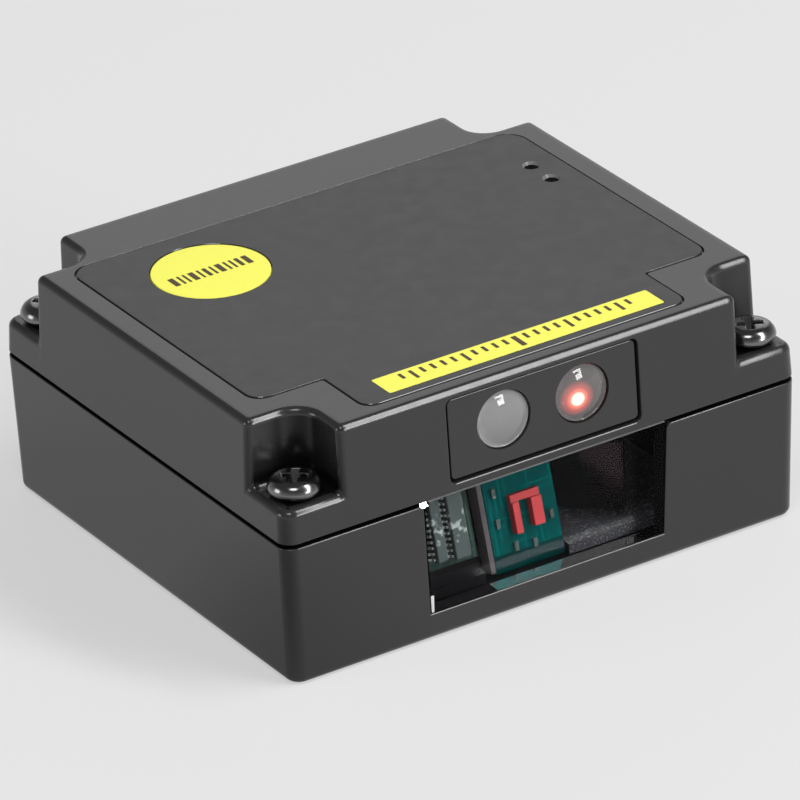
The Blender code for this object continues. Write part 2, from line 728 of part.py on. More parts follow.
def base_details(base):
    """Pane rails, insert bosses, ear posts and the screw pilots."""
    rail = WINDOW_WIDTH_HIGH / 2 + PANE_OVERLAP + RAIL_GAP
    rail_back = -CAVITY_Y + RAIL_DEPTH
    for near in (-rail - RAIL_WIDTH, rail):
        low = (near, -CAVITY_Y - RAIL_SUNK, FLOOR / 2)
        boolean(base, block("pane_rail", low, (near + RAIL_WIDTH, rail_back, RAIL_TOP)), "UNION")
    for at in INSERT_AT:
        boolean(base, cylinder("insert_boss", INSERT_BOSS, FLOOR / 2, INSERT_BOSS_TOP, at), "UNION")
        boolean(base, cylinder("insert_hole", INSERT_RADIUS + FIT_GAP, -OVERCUT, INSERT_HOLE_TOP, at))
    ear_under = EAR_TOP - EAR_THICKNESS - FIT_GAP
    for at in EARS:
        boolean(base, cylinder("ear_post", EAR_POST_RADIUS, FLOOR / 2, ear_under, at), "UNION")
        boolean(base, cylinder("ear_pilot", SMALL_SCREW["shank"] + PILOT_CLEARANCE, FLOOR / 2, EAR_TOP, at))
    for at in corners(SCREW_X, SCREW_Y).values():
        boolean(base, cylinder("screw_pilot", COVER_SCREW["shank"] + PILOT_CLEARANCE, PILOT_FOOT, HEIGHT, at))


def pocket_tool(sx, sy):
    """Clears one corner of the cover for a screw head, with a round inner corner."""
    far_x, far_y = WIDTH / 2 + POCKET_REACH, DEPTH / 2 + POCKET_REACH
    outline = [(far_x, POCKET_Y)]
    outline += arc((POCKET_X + POCKET_RADIUS, POCKET_Y + POCKET_RADIUS), POCKET_RADIUS, -90, -180)
    outline += [(POCKET_X, far_y), (far_x, far_y)]
    outline = [(sx * x, sy * y) for x, y in outline]
    return extruded("pocket", outline, POCKET_FLOOR, HEIGHT + OVERCUT)


def sensor_frame():
    """Frame on the leaning front wall: X across, Y up the wall, Z out of it."""
    lean = math.atan2(TOP_INSET, HEIGHT - SEAM_HEIGHT)
    at = (0, front_wall(SENSOR_HEIGHT), SENSOR_HEIGHT)
    return empty("sensor_frame", at, (math.radians(90) - lean, 0, 0))


def overlay_outline(grow=0.0):
    """Film outline with rounded rear corners and stepped front corners that clear the screw pockets."""
    side, back, step = FILM_X + grow, FILM_BACK + grow, FILM_STEP_Y - grow
    tongue, front = FILM_TONGUE_X + grow, FILM_FRONT - grow
    tongue_centre = (tongue - FILM_TONGUE_RADIUS, front + FILM_TONGUE_RADIUS)
    side_centre = (side - FILM_SIDE_RADIUS, step + FILM_SIDE_RADIUS)
    rear_centre = (side - FILM_REAR_RADIUS, back - FILM_REAR_RADIUS)
    right = arc(tongue_centre, FILM_TONGUE_RADIUS, -90, 0, ARC_STEPS)
    right += [(tongue, step + NOTCH_SPLAY)]
    right += arc(side_centre, FILM_SIDE_RADIUS, -90, 0, ARC_STEPS)
    right += arc(rear_centre, FILM_REAR_RADIUS, 0, 90, ARC_STEPS)
    return right + [(-x, y) for x, y in right[::-1]]


def top_cover(sensor):
    lean = TOP_INSET / (HEIGHT - SEAM_HEIGHT)
    low = [side + 2 * lean * TRIM_DROP for side in (WIDTH, DEPTH)]
    high = [side - 2 * TOP_INSET for side in (WIDTH, DEPTH)]
    cover = drafted_block("cover", low, high, SEAM_HEIGHT - TRIM_DROP, HEIGHT)
    for sx in (-1, 1):
        for sy in (-1, 1):
            boolean(cover, pocket_tool(sx, sy))
    soften(cover, COVER_ROUND, steps=COVER_STEPS, angle=40)

    boolean(cover, block("cover_trim", (-WIDTH, -WIDTH, 0), (WIDTH, WIDTH, COVER_RIM)))
    recess = [side - 2 * TONGUE_INSET + 2 * TONGUE_PLAY for side in (WIDTH, DEPTH)]
    under = COVER_RIM - OVERCUT
    boolean(cover, drafted_block("tongue_recess", recess, recess, under, COVER_RIM + RECESS_HEIGHT))
    inner = notched_outline(CAVITY_X, CAVITY_Y, POCKET_X - WALL, POCKET_Y - WALL, POCKET_RADIUS + WALL)
    boolean(cover, extruded("cover_hollow", inner, under, ROOF_UNDERSIDE))
    for at in POSTS:
        boolean(cover, cylinder("board_post", POST_RADIUS, BOARD_SEAT, HEIGHT - ROOF / 2, at), "UNION")
        pilot = SMALL_SCREW["shank"] + PILOT_CLEARANCE
        boolean(cover, cylinder("post_pilot", pilot, BOARD_TOP, SCREW_HOLE_TOP, at))
    cover_openings(cover, sensor)
    piece(cover, "top_cover", "housing")


def cover_openings(cover, sensor):
    """The sensor opening, the film's bed, and the holes for the button, the lights and the screws."""
    half = (SENSOR_WIDTH / 2 + FIT_GAP, SENSOR_RISE / 2 + FIT_GAP)
    outline = rounded_rectangle(*half, OPENING_CORNER)
    opening = extruded("sensor_opening", outline, -OPENING_DEPTH, 2 * OVERCUT)
    boolean(cover, place(opening, parent=sensor))
    above = HEIGHT + OVERCUT
    boolean(cover, extruded("film_bed", overlay_outline(FILM_GAP), HEIGHT - FILM_RECESS, above))
    hole = BUTTON_RADIUS + BUTTON_CLEARANCE
    boolean(cover, cylinder("button_hole", hole, ROOF_HOLE_FOOT, above, BUTTON_AT, HOLE_SIDES))
    for at in LIGHT_AT:
        boolean(cover, cylinder("light_hole", LIGHT_HOLE, ROOF_HOLE_FOOT, above, at, LIGHT_SIDES))
    hole = COVER_SCREW["shank"] + SCREW_CLEARANCE
    for at in corners(SCREW_X, SCREW_Y).values():
        boolean(cover, cylinder("screw_hole", hole, COVER_RIM - OVERCUT, SCREW_HOLE_TOP, at))


def overlay_film():
    film = extruded("film", overlay_outline(), FILM_TOP - FILM_THICKNESS, FILM_TOP)
    above = HEIGHT + OVERCUT
    hole = BUTTON_RADIUS + FIT_GAP
    boolean(film, cylinder("film_button", hole, ROOF_HOLE_FOOT, above, BUTTON_AT, HOLE_SIDES))
    for at in LIGHT_AT:
        boolean(film, cylinder("film_light", LIGHT_HOLE, ROOF_HOLE_FOOT, above, at, LIGHT_SIDES))
    piece(film, "overlay_film", "overlay")


# Fasteners

def pan_head_screw(name, head, rise, shank, length, cross, sides=TINY_SIDES):
    """A pan-head screw with a cross recess: its seat is at Z 0 and its shank points down."""
    profile = [(head * out, rise * up) for out, up in CROWN_SHARES]
    profile += [(shank, 0), (shank, shank - length), (shank * TIP_SHARE, -length), (0, -length)]
    screw = turned(name, profile, sides)
    reach, deep = head * CROSS_REACH_SHARE, rise * CROSS_FLOOR_SHARE
    for turn in (45, 135):
        wing = block("cross", (-reach, -cross / 2, deep), (reach, cross / 2, rise + OVERCUT))
        boolean(screw, place(wing, rotation=(0, 0, math.radians(turn))))
    return screw


def cover_screws():
    seat = POCKET_FLOOR + FIT_GAP
    places = [(f"cover_screw_{name}", (*at, seat)) for name, at in corners(SCREW_X, SCREW_Y).items()]
    copies(pan_head_screw("cover_screw", **COVER_SCREW, sides=SMALL_SIDES), places, "screw_steel")


def small_screws():
    ear_seat = EAR_TOP + FIT_GAP
    down = [(f"chassis_screw_{side}", (*at, ear_seat)) for side, at in zip(("left", "right"), EARS)]
    copies(pan_head_screw("chassis_screw", **CHASSIS_SCREW), down, "screw_steel")
    sides = ("left", "right", "rear")
    up = [(f"board_screw_{side}", (*at, BOARD_UNDER)) for side, at in zip(sides, POSTS)]
    copies(pan_head_screw("board_screw", **SMALL_SCREW), up, "screw_steel", (math.radians(180), 0, 0))


def mount_inserts():
    """Knurled M3 inserts, with plain walls here, sunk a little below the underside."""
    low, high = INSERT_SUNK, INSERT_SUNK + INSERT_LENGTH
    groove = INSERT_RADIUS - INSERT_GROOVE
    middle = (low + high) / 2
    upper, lower = middle + INSERT_GROOVE_HALF, middle - INSERT_GROOVE_HALF
    profile = [(INSERT_BORE, high), (INSERT_RADIUS, high), (INSERT_RADIUS, upper)]
    profile += [(groove, upper), (groove, lower), (INSERT_RADIUS, lower)]
    profile += [(INSERT_RADIUS, low), (INSERT_BORE, low)]
    places = [(f"mount_insert_{side}", (*at, 0)) for side, at in zip(("left", "right"), INSERT_AT)]
    copies(turned("insert", profile, TINY_SIDES, closed=True), places, "brass")


# Scan button and its switch

def scan_button():
    """Round cap, held under the roof by its flange, with a stem over the switch's plunger."""
    axis = empty("button_axis", (*BUTTON_AT, 0))
    flange_top = ROOF_UNDERSIDE - FIT_GAP
    flange_low = flange_top - BUTTON_FLANGE_DEPTH
    flange = BUTTON_RADIUS + BUTTON_FLANGE
    profile = [(0, BUTTON_TOP), (BUTTON_RADIUS - BUTTON_EDGE, BUTTON_TOP)]
    profile += [(BUTTON_RADIUS, BUTTON_TOP - BUTTON_EDGE), (BUTTON_RADIUS, flange_top)]
    profile += [(flange, flange_top), (flange, flange_low)]
    profile += [(STEM_RADIUS, flange_low), (STEM_RADIUS, STEM_FOOT), (0, STEM_FOOT)]
    button = turned("button", profile, BUTTON_SIDES)
    place(piece(button, "scan_button", "button_yellow"), parent=axis)

    profile = [(0, PLUNGER_TOP), (PLUNGER_RADIUS, PLUNGER_TOP)]
    profile += [(PLUNGER_RADIUS, PLUNGER_FOOT), (0, PLUNGER_FOOT)]
    plunger = turned("plunger", profile, SMALL_SIDES)
    place(piece(plunger, "switch_plunger", "black_plastic"), parent=axis)

    half = SWITCH_HALF
    body = block("switch", (-half, -half, BOARD_SEAT), (half, half, SWITCH_TOP), CASE_EDGE, 1)
    bore = cylinder("plunger_bore", PLUNGER_RADIUS + FIT_GAP, PLUNGER_BORE_FOOT, ROOF_HOLE_FOOT)
    boolean(body, place(bore, parent=axis))
    place(piece(body, "tact_switch", "chip_black"), parent=axis)


# Trigger sensor: plate, lenses, lamp holder, emitter and receiver

def sensor_assembly(sensor):
    places = {"receiver": (-LENS_X, LENS_UP), "emitter": (LENS_X, LENS_UP)}
    sensor_plate(sensor, places)

    flange_top = PLATE_BACK - FIT_GAP
    flange = LENS_RADIUS + LENS_FLANGE
    bulge = (LENS_RADIUS**2 + LENS_SAG**2) / (2 * LENS_SAG)
    half_angle = math.degrees(math.asin(LENS_RADIUS / bulge))
    dome = arc((0, LENS_SAG - bulge - SENSOR_RECESS), bulge, 90, 90 - half_angle, ARC_STEPS)
    rim = [(LENS_RADIUS, flange_top), (flange, flange_top), (flange, LENS_BACK), (0, LENS_BACK)]
    lens = turned("lens", dome + rim, ROUND_SIDES)
    named = [(f"{kind}_lens", (*at, 0)) for kind, at in places.items()]
    copies(lens, named, "clear_lens", parent=sensor)

    low = (-HOLDER_HALF_WIDTH, HOLDER_LOW, HOLDER_BACK)
    high = (HOLDER_HALF_WIDTH, HOLDER_HIGH, HOLDER_FRONT)
    holder = block("holder", low, high, CASE_EDGE, 1)
    for at in places.values():
        bore = cylinder("lamp_bore", LENS_RADIUS + FIT_GAP, -HOLDER_BORE_REACH, 0, at, ROUND_SIDES)
        boolean(holder, place(bore, parent=sensor))
    place(piece(holder, "sensor_holder", "black_plastic"), parent=sensor)

    foot = HOLDER_BACK - FIT_GAP
    flange = LAMP_RADIUS + LAMP_FLANGE
    profile = arc((0, LAMP_TIP - LAMP_RADIUS), LAMP_RADIUS, 90, 0, ARC_STEPS)
    profile += [(LAMP_RADIUS, foot), (flange, foot), (flange, foot - LAMP_FLANGE_DEPTH)]
    profile += [(0, foot - LAMP_FLANGE_DEPTH)]
    for kind, label, finish_name in (("emitter", "led", "emitter_red"), ("receiver", "diode", "chip_black")):
        lamp = turned(kind, profile, SMALL_SIDES)
        place(piece(lamp, f"{kind}_{label}", finish_name), (*places[kind], 0), parent=sensor)


def sensor_plate(sensor, places):
    """The plate that fills the opening, held from behind by its wider flange."""
    outline = rounded_rectangle(SENSOR_WIDTH / 2, SENSOR_RISE / 2, SENSOR_CORNER)
    plate = extruded("plate", outline, PLATE_BACK + FLANGE_THICKNESS / 2, -SENSOR_RECESS)
    wider = SENSOR_WIDTH / 2 + FLANGE_WIDER
    low, high = (-wider, FLANGE_LOW, PLATE_BACK), (wider, FLANGE_HIGH, PLATE_BACK + FLANGE_THICKNESS)
    boolean(plate, place(block("plate_flange", low, high), parent=sensor), "UNION")
    for at in places.values():
        hole = cylinder("lens_hole", LENS_RADIUS + FIT_GAP, -LENS_HOLE_REACH, OVERCUT, at, ROUND_SIDES)
        boolean(plate, place(hole, parent=sensor))
    place(piece(plate, "sensor_plate", "housing"), parent=sensor)


# Window and cable bush

def exit_window():
    """Clear pane between the rails, with a step in front that fills the window almost to the wall's face."""
    half = WINDOW_WIDTH_HIGH / 2 + PANE_OVERLAP
    front = -CAVITY_Y + PANE_SETBACK
    low = (-half, front, FLOOR + FIT_GAP)
    pane = block("pane", low, (half, front + PANE_THICKNESS, COVER_RIM + PANE_SETBACK))

    splay = (WINDOW_WIDTH_HIGH - WINDOW_WIDTH_LOW) / (WINDOW_TOP - WINDOW_FOOT)
    foot_width = WINDOW_WIDTH_LOW - 2 * FIT_GAP
    top_width = foot_width + splay * (PLUG_TOP - WINDOW_FOOT)
    plug = drafted_block(
        "pane_plug",
        (foot_width, PLUG_DEPTH),
        (top_width, PLUG_DEPTH),
        WINDOW_FOOT + FIT_GAP,
        PLUG_TOP,
        corner_radius=0,
    )
    lean = math.atan2(FOOT_INSET, BASE_RIM)
    face = FOOT_INSET - DEPTH / 2 + PLUG_RECESS
    boolean(pane, place(plug, (0, face + PLUG_DEPTH / 2, 0), (lean, 0, 0)), "UNION")
    soften(pane, PANE_EDGE, steps=1)
    piece(pane, "exit_window", "window_clear")


def cable_bush():
    """Grommet in the rear wall: a plug in the notch, a flange inside and a bore for the cable."""
    bush = bush_shape("bush", 0, BUSH_DEPTH, DEPTH / 2 - BUSH_SUNK)
    flange = bush_shape("bush_flange", BUSH_FLANGE, BUSH_FLANGE_DEPTH, CAVITY_Y - FIT_GAP)
    boolean(bush, flange, "UNION")
    bore = cylinder("bush_bore", BUSH_BORE, -BUSH_BORE_REACH, BUSH_BORE_REACH, sides=TURNED_SIDES)
    boolean(bush, place(bore, (BUSH_X, DEPTH / 2, BUSH_Z), (math.radians(90), 0, 0)))
    piece(bush, "cable_bush", "rubber")


# Decoder board and what it carries

def decoder_board():
    margin = WALL + BOARD_CORNER_GAP
    half = (CAVITY_X - BOARD_SIDE_GAP, BOARD_DEPTH / 2)
    outline = notched_outline(*half, POCKET_X - margin, POCKET_Y - margin, BOARD_CORNER_RADIUS)
    board = extruded("board", outline, BOARD_TOP - BOARD_THICKNESS, BOARD_TOP)
    hole = SMALL_SCREW["shank"] + SCREW_CLEARANCE
    for at in POSTS:
        boolean(board, cylinder("board_hole", hole, BOARD_UNDER - OVERCUT, BOARD_SEAT + OVERCUT, at))
    piece(board, "decoder_board", "board_green")

    chip = block("chip", (*CHIP_LOW, BOARD_SEAT), (*CHIP_HIGH, BOARD_SEAT + CHIP_HEIGHT), CHIP_EDGE, 1)
    piece(chip, "decoder_chip", "chip_black")
    port = BUZZER_HEIGHT - BUZZER_PORT_DEPTH
    profile = [(0, port), (BUZZER_PORT, port), (BUZZER_PORT, BUZZER_HEIGHT)]
    profile += [(BUZZER_RADIUS - BUZZER_EDGE, BUZZER_HEIGHT), (BUZZER_RADIUS, BUZZER_HEIGHT - BUZZER_EDGE)]
    buzzer = turned("buzzer", profile + [(BUZZER_RADIUS, 0), (0, 0)], TURNED_SIDES)
    place(piece(buzzer, "buzzer", "black_plastic"), (*BUZZER_AT, BOARD_SEAT))
    low, high = (*HEADER_LOW, BOARD_UNDER - HEADER_DROP), (*HEADER_HIGH, BOARD_UNDER)
    piece(block("header", low, high, HEADER_EDGE, 1), "cable_header", "white_plastic")
    low, high = (*SOCKET_LOW, BOARD_UNDER - SOCKET_DROP), (*SOCKET_HIGH, BOARD_UNDER)
    piece(block("socket", low, high, CHIP_EDGE, 1), "ribbon_socket", "white_plastic")


def status_lights():
    """Two surface lamps on the board, each under a clear pipe that ends in the overlay's hole."""
    sides = ("front", "rear")
    low, high = (-STATUS_HALF_X, -STATUS_HALF_Y, 0), (STATUS_HALF_X, STATUS_HALF_Y, STATUS_HEIGHT)
    lamp = block("status", low, high, FINE_EDGE, 1)
    copies(lamp, [(f"status_led_{s}", (*at, BOARD_SEAT)) for s, at in zip(sides, LIGHT_AT)], "white_plastic")
    radius, collar = LIGHT_HOLE - FIT_GAP, LIGHT_HOLE + PIPE_COLLAR
    collar_top = ROOF_UNDERSIDE - FIT_GAP
    collar_low = collar_top - PIPE_COLLAR_DEPTH
    profile = [(0, PIPE_TOP), (radius, PIPE_TOP), (radius, collar_top), (collar, collar_top)]
    profile += [(collar, collar_low), (radius, collar_low), (radius, PIPE_FOOT), (0, PIPE_FOOT)]
    pipe = turned("pipe", profile, TINY_SIDES)
    copies(pipe, [(f"light_pipe_{s}", (*at, 0)) for s, at in zip(sides, LIGHT_AT)], "clear_lens")


# Optical engine

def coil_place():
    """Near end of the drive coil, on the line from the pivot through the mirror's tail."""
    reach = Vector((-math.sin(MIRROR_TURN), math.cos(MIRROR_TURN), 0)) * COIL_REACH
    return Vector((PIVOT_X, BEAM_Y, BEAM_Z)) + reach


def optical_chassis():
    """Die-cast tray, notched for a board, with a rear wall, leaning posts, a laser saddle and two ears."""
    low = TRAY_LOW + TRAY_INSET
    tray = block("tray", (TRAY_LEFT, TRAY_FRONT, TRAY_LOW), (TRAY_RIGHT, TRAY_BACK, TRAY_TOP))
    wall_low = (TRAY_LEFT + TRAY_INSET, TRAY_BACK - TRAY_WALL, low)
    wall_high = (TRAY_RIGHT - TRAY_INSET, TRAY_BACK - TRAY_INSET, TRAY_WALL_TOP)
    boolean(tray, block("tray_wall", wall_low, wall_high), "UNION")
    notch_low = (NOTCH_LEFT, TRAY_FRONT - OVERCUT, TRAY_LOW - OVERCUT)
    notch_right = RECEIVER_X + RECEIVER_HALF_WIDTH + RECEIVER_SIDE_GAP
    boolean(tray, block("board_notch", notch_low, (notch_right, NOTCH_BACK, TRAY_TOP + OVERCUT)))
    for x in POST_X:
        foot = (-POST_HALF_WIDTH, POST_FRONT, POST_FOOT)
        post = block("post", foot, (POST_HALF_WIDTH, POST_BACK, POST_RISE))
        boolean(tray, place(post, (x, BOARD_FOOT_Y, TRAY_TOP), (ENGINE_LEAN, 0, 0)), "UNION")
    boolean(tray, block("board_step", (*STEP_LOW, low), (*STEP_HIGH, STEP_TOP)), "UNION")
    boss_top = TRAY_TOP + PIVOT_BOSS_RISE
    boolean(tray, cylinder("pivot_boss", PIVOT_BOSS, low, boss_top, (PIVOT_X, BEAM_Y)), "UNION")
    cradle_high = (CRADLE_HALF, COIL_LENGTH - CRADLE_INSET, CRADLE_TOP)
    cradle = block("cradle", (-CRADLE_HALF, CRADLE_INSET, low), cradle_high)
    boolean(tray, place(cradle, (*coil_place()[:2], 0), (0, 0, MIRROR_TURN)), "UNION")
    bed = cylinder("coil_bed", COIL_RADIUS + FIT_GAP, -OVERCUT, COIL_LENGTH + OVERCUT, sides=TURNED_SIDES)
    boolean(tray, place(bed, coil_place(), COIL_FACING))
    boolean(tray, block("saddle", (*SADDLE_LOW, low + TRAY_INSET), (*SADDLE_HIGH, SADDLE_TOP)), "UNION")
    chassis_ears(tray)
    reach = BARREL_BED_REACH
    bed = cylinder("barrel_bed", BARREL_RADIUS + FIT_GAP, -reach, reach, sides=ROUND_SIDES)
    boolean(tray, place(bed, (BARREL_BED_AT, BEAM_Y, BEAM_Z), (0, math.radians(90), 0)))
    boolean(tray, cylinder("pin_hole", PIN_RADIUS + FIT_GAP, 0, PIN_HOLE_TOP, (PIVOT_X, BEAM_Y)))
    piece(tray, "optical_chassis", "chassis")


def chassis_ears(tray):
    """The two screw ears, each on a riser at the tray's edge."""
    flat = EAR_TOP - EAR_THICKNESS
    hole = SMALL_SCREW["shank"] + SCREW_CLEARANCE
    for sx, edge, (x, y) in zip((-1, 1), (TRAY_LEFT, TRAY_RIGHT), EARS):
        inner, outer = edge - sx * EAR_ROOT, x + sx * EAR_REACH
        near, far = sorted((edge, inner))
        riser_low = (near + RISER_INSET, y - RISER_HALF, TRAY_LOW + TRAY_INSET)
        riser_high = (far - RISER_INSET, y + RISER_HALF, EAR_TOP - RISER_DROP)
        boolean(tray, block("riser", riser_low, riser_high), "UNION")
        near, far = sorted((inner, outer))
        boolean(tray, block("ear", (near, y - EAR_HALF, flat), (far, y + EAR_HALF, EAR_TOP)), "UNION")
        boolean(tray, cylinder("ear_hole", hole, flat - OVERCUT, EAR_TOP + OVERCUT, (x, y)))


def receiver_stack():
    """Teal board that leans back behind the window: clip in front, photodiode and filter behind."""
    frame = empty("receiver_frame", (RECEIVER_X, BOARD_FOOT_Y, TRAY_TOP + FIT_GAP), (ENGINE_LEAN, 0, 0))
    low = (-RECEIVER_HALF_WIDTH, -LEAN_BOARD_HALF, RECEIVER_FOOT)
    board = block("receiver", low, (RECEIVER_HALF_WIDTH, LEAN_BOARD_HALF, LEAN_BOARD_TOP))
    place(piece(board, "receiver_board", "board_teal"), parent=frame)

    step_x, step_z = CLIP_SLOT[0] - CLIP_STEP[0], CLIP_SHORT_LEG + CLIP_STEP[1]
    outline = [(CLIP_LEFT, CLIP_LONG_LEG), (step_x, CLIP_LONG_LEG), (step_x, step_z), (CLIP_SLOT[0], step_z)]
    outline += [(CLIP_SLOT[0], CLIP_SHOULDER), (CLIP_SLOT[1], CLIP_SHOULDER), (CLIP_SLOT[1], CLIP_SHORT_LEG)]
    outline += [(CLIP_RIGHT, CLIP_SHORT_LEG), (CLIP_RIGHT, CLIP_TOP), (CLIP_LEFT, CLIP_TOP)]
    clip = extruded("clip", outline, 0, CLIP_THICKNESS)
    front = (0, -LEAN_BOARD_HALF - FIT_GAP, 0)
    place(piece(clip, "filter_clip", "clip_red"), front, (math.radians(90), 0, 0), frame)

    behind = LEAN_BOARD_HALF + FIT_GAP
    low = (-DIODE_HALF_WIDTH, behind, DIODE_LOW)
    diode = block("diode", low, (DIODE_HALF_WIDTH, behind + DIODE_DEPTH, DIODE_HIGH), FINE_EDGE, 1)
    place(piece(diode, "photodiode", "chip_black"), parent=frame)
    glass = behind + DIODE_DEPTH + FIT_GAP
    half = DIODE_HALF_WIDTH + FILTER_BORDER
    low = (-half, glass, DIODE_LOW - FILTER_BORDER)
    pane = block("filter", low, (half, glass + FILTER_DEPTH, DIODE_HIGH + FILTER_BORDER))
    place(piece(pane, "optical_filter", "filter_red"), parent=frame)


def signal_stack():
    """Green board beside the teal one, between the chassis posts, with its two pale parts."""
    frame = empty("signal_frame", (SIGNAL_X, BOARD_FOOT_Y, TRAY_TOP + FIT_GAP), (ENGINE_LEAN, 0, 0))
    low = (-SIGNAL_HALF_WIDTH, -LEAN_BOARD_HALF, SIGNAL_FOOT)
    board = block("signal", low, (SIGNAL_HALF_WIDTH, LEAN_BOARD_HALF, LEAN_BOARD_TOP))
    place(piece(board, "signal_board", "board_green"), parent=frame)
    seat = -LEAN_BOARD_HALF - FIT_GAP
    for name, chip in SIGNAL_CHIPS.items():
        left, right = chip["x"] - chip["width"] / 2, chip["x"] + chip["width"] / 2
        low = (left, seat - SIGNAL_CHIP_DEPTH, chip["low"])
        part = block(name, low, (right, seat, SIGNAL_CHIP_TOP), CHIP_EDGE, 1)
        place(piece(part, name, "part_grey"), parent=frame)


def laser_source():
    """Laser module along +X: turned barrel with its collimating lens in front and the diode can behind."""
    axis = empty("laser_axis", (LASER_X, BEAM_Y, BEAM_Z), (0, math.radians(90), 0))
    outer, groove = BARREL_RADIUS, BARREL_RADIUS - BARREL_GROOVE
    profile = [(BARREL_BORE, BARREL_LENGTH), (outer - BARREL_EDGE, BARREL_LENGTH)]
    profile += [(outer, BARREL_LENGTH - BARREL_EDGE), (outer, BARREL_GROOVE_HIGH)]
    profile += [(groove, BARREL_GROOVE_HIGH), (groove, BARREL_GROOVE_LOW)]
    profile += [(outer, BARREL_GROOVE_LOW), (outer, 0), (BARREL_BORE, 0)]
    barrel = turned("barrel", profile, TURNED_SIDES, closed=True)
    place(piece(barrel, "laser_barrel", "brass"), parent=axis)

    radius = BARREL_BORE - FIT_GAP
    half_angle = math.degrees(math.asin(radius / LENS_BALL))
    dome = arc((0, LENS_BALL_AT), LENS_BALL, 90, 90 - half_angle, ARC_STEPS)
    lens = turned("collimator", dome + [(radius, COLLIMATOR_FLAT), (0, COLLIMATOR_FLAT)], SMALL_SIDES)
    place(piece(lens, "collimator_lens", "clear_lens"), parent=axis)
    profile = [(0, CAN_TOP), (CAN_RADIUS, CAN_TOP), (CAN_RADIUS, CAN_FLANGE_TOP)]
    profile += [(CAN_FLANGE, CAN_FLANGE_TOP), (CAN_FLANGE, CAN_FLANGE_LOW), (0, CAN_FLANGE_LOW)]
    place(piece(turned("diode_can", profile, TURNED_SIDES), "laser_diode", "brass"), parent=axis)


def collector_mirror():
    """Concave collector with a central hole that lets the outgoing beam through."""
    at = (COLLECTOR_X, BEAM_Y, BEAM_Z)
    along_x = (0, math.radians(90), 0)
    low = (-COLLECTOR_DEPTH, COLLECTOR_FRONT, -COLLECTOR_HALF_HEIGHT)
    body = place(block("collector", low, (0, COLLECTOR_REAR, COLLECTOR_HALF_HEIGHT), CHIP_EDGE, 1), at)
    half_angle = math.degrees(math.asin(DISH_REACH / DISH_RADIUS))
    dish = [(0, DISH_TOP), (DISH_REACH, DISH_TOP)]
    dish += arc((0, DISH_RADIUS - DISH_DEPTH), DISH_RADIUS, -90 + half_angle, -90)
    boolean(body, place(turned("dish", dish, TURNED_SIDES), at, along_x))
    boolean(body, place(cylinder("beam_hole", BEAM_HOLE, -BEAM_HOLE_REACH, BEAM_HOLE_REACH), at, along_x))
    piece(body, "collector_mirror", "mirror_glass")


def scan_mirror():
    """Oscillating mirror: carrier with a hub and tail, mirror glass, and the magnet on the tail."""
    axis = empty("mirror_axis", (PIVOT_X, BEAM_Y, 0), (0, 0, MIRROR_TURN))
    half = MIRROR_WIDTH / 2
    carrier = cylinder("hub", HUB_RADIUS, MIRROR_LOW, MIRROR_HIGH, sides=TURNED_SIDES)
    low = (CARRIER_BORDER - half, CARRIER_FRONT, MIRROR_LOW + CARRIER_BORDER)
    back = block("back_plate", low, (half - CARRIER_BORDER, CARRIER_BACK, MIRROR_HIGH - CARRIER_BORDER))
    boolean(carrier, place(back, parent=axis), "UNION")
    low = (-TAIL_HALF_WIDTH, TAIL_START, BEAM_Z - TAIL_HALF_HEIGHT)
    tail = block("tail", low, (TAIL_HALF_WIDTH, TAIL_END, BEAM_Z + TAIL_HALF_HEIGHT))
    boolean(carrier, place(tail, parent=axis), "UNION")
    bore = cylinder("hub_bore", PIN_RADIUS + FIT_GAP, 0, HEIGHT, sides=TURNED_SIDES)
    boolean(carrier, place(bore, parent=axis))
    place(piece(carrier, "mirror_carrier", "black_plastic"), parent=axis)

    low, high = (-half, MIRROR_FRONT, MIRROR_LOW), (half, MIRROR_BACK, MIRROR_HIGH)
    place(piece(block("glass", low, high, MIRROR_EDGE, 1), "scan_mirror", "mirror_glass"), parent=axis)
    low = (-MAGNET_HALF_WIDTH, MAGNET_START, BEAM_Z - MAGNET_HALF_HEIGHT)
    high = (MAGNET_HALF_WIDTH, MAGNET_END, BEAM_Z + MAGNET_HALF_HEIGHT)
    place(piece(block("magnet", low, high, FINE_EDGE, 1), "drive_magnet", "magnet"), parent=axis)


def mirror_pivot():
    """The fixed pin that the mirror swings on, and the ring that keeps it there."""
    at = (PIVOT_X, BEAM_Y, 0)
    profile = [(0, PIN_TOP), (PIN_RADIUS - PIN_EDGE, PIN_TOP), (PIN_RADIUS, PIN_TOP - PIN_EDGE)]
    pin = turned("pin", profile + [(PIN_RADIUS, PIN_FOOT), (0, PIN_FOOT)], TURNED_SIDES)
    place(piece(pin, "pivot_pin", "screw_steel"), at)
    low, high = MIRROR_HIGH + RING_LIFT, MIRROR_HIGH + RING_LIFT + RING_HEIGHT
    inner = PIN_RADIUS + RING_GAP
    profile = [(inner, high), (RING_RADIUS, high), (RING_RADIUS, low), (inner, low)]
    ring = turned("clip_ring", profile, TURNED_SIDES, closed=True)
    place(piece(ring, "pivot_clip", "screw_steel"), at)


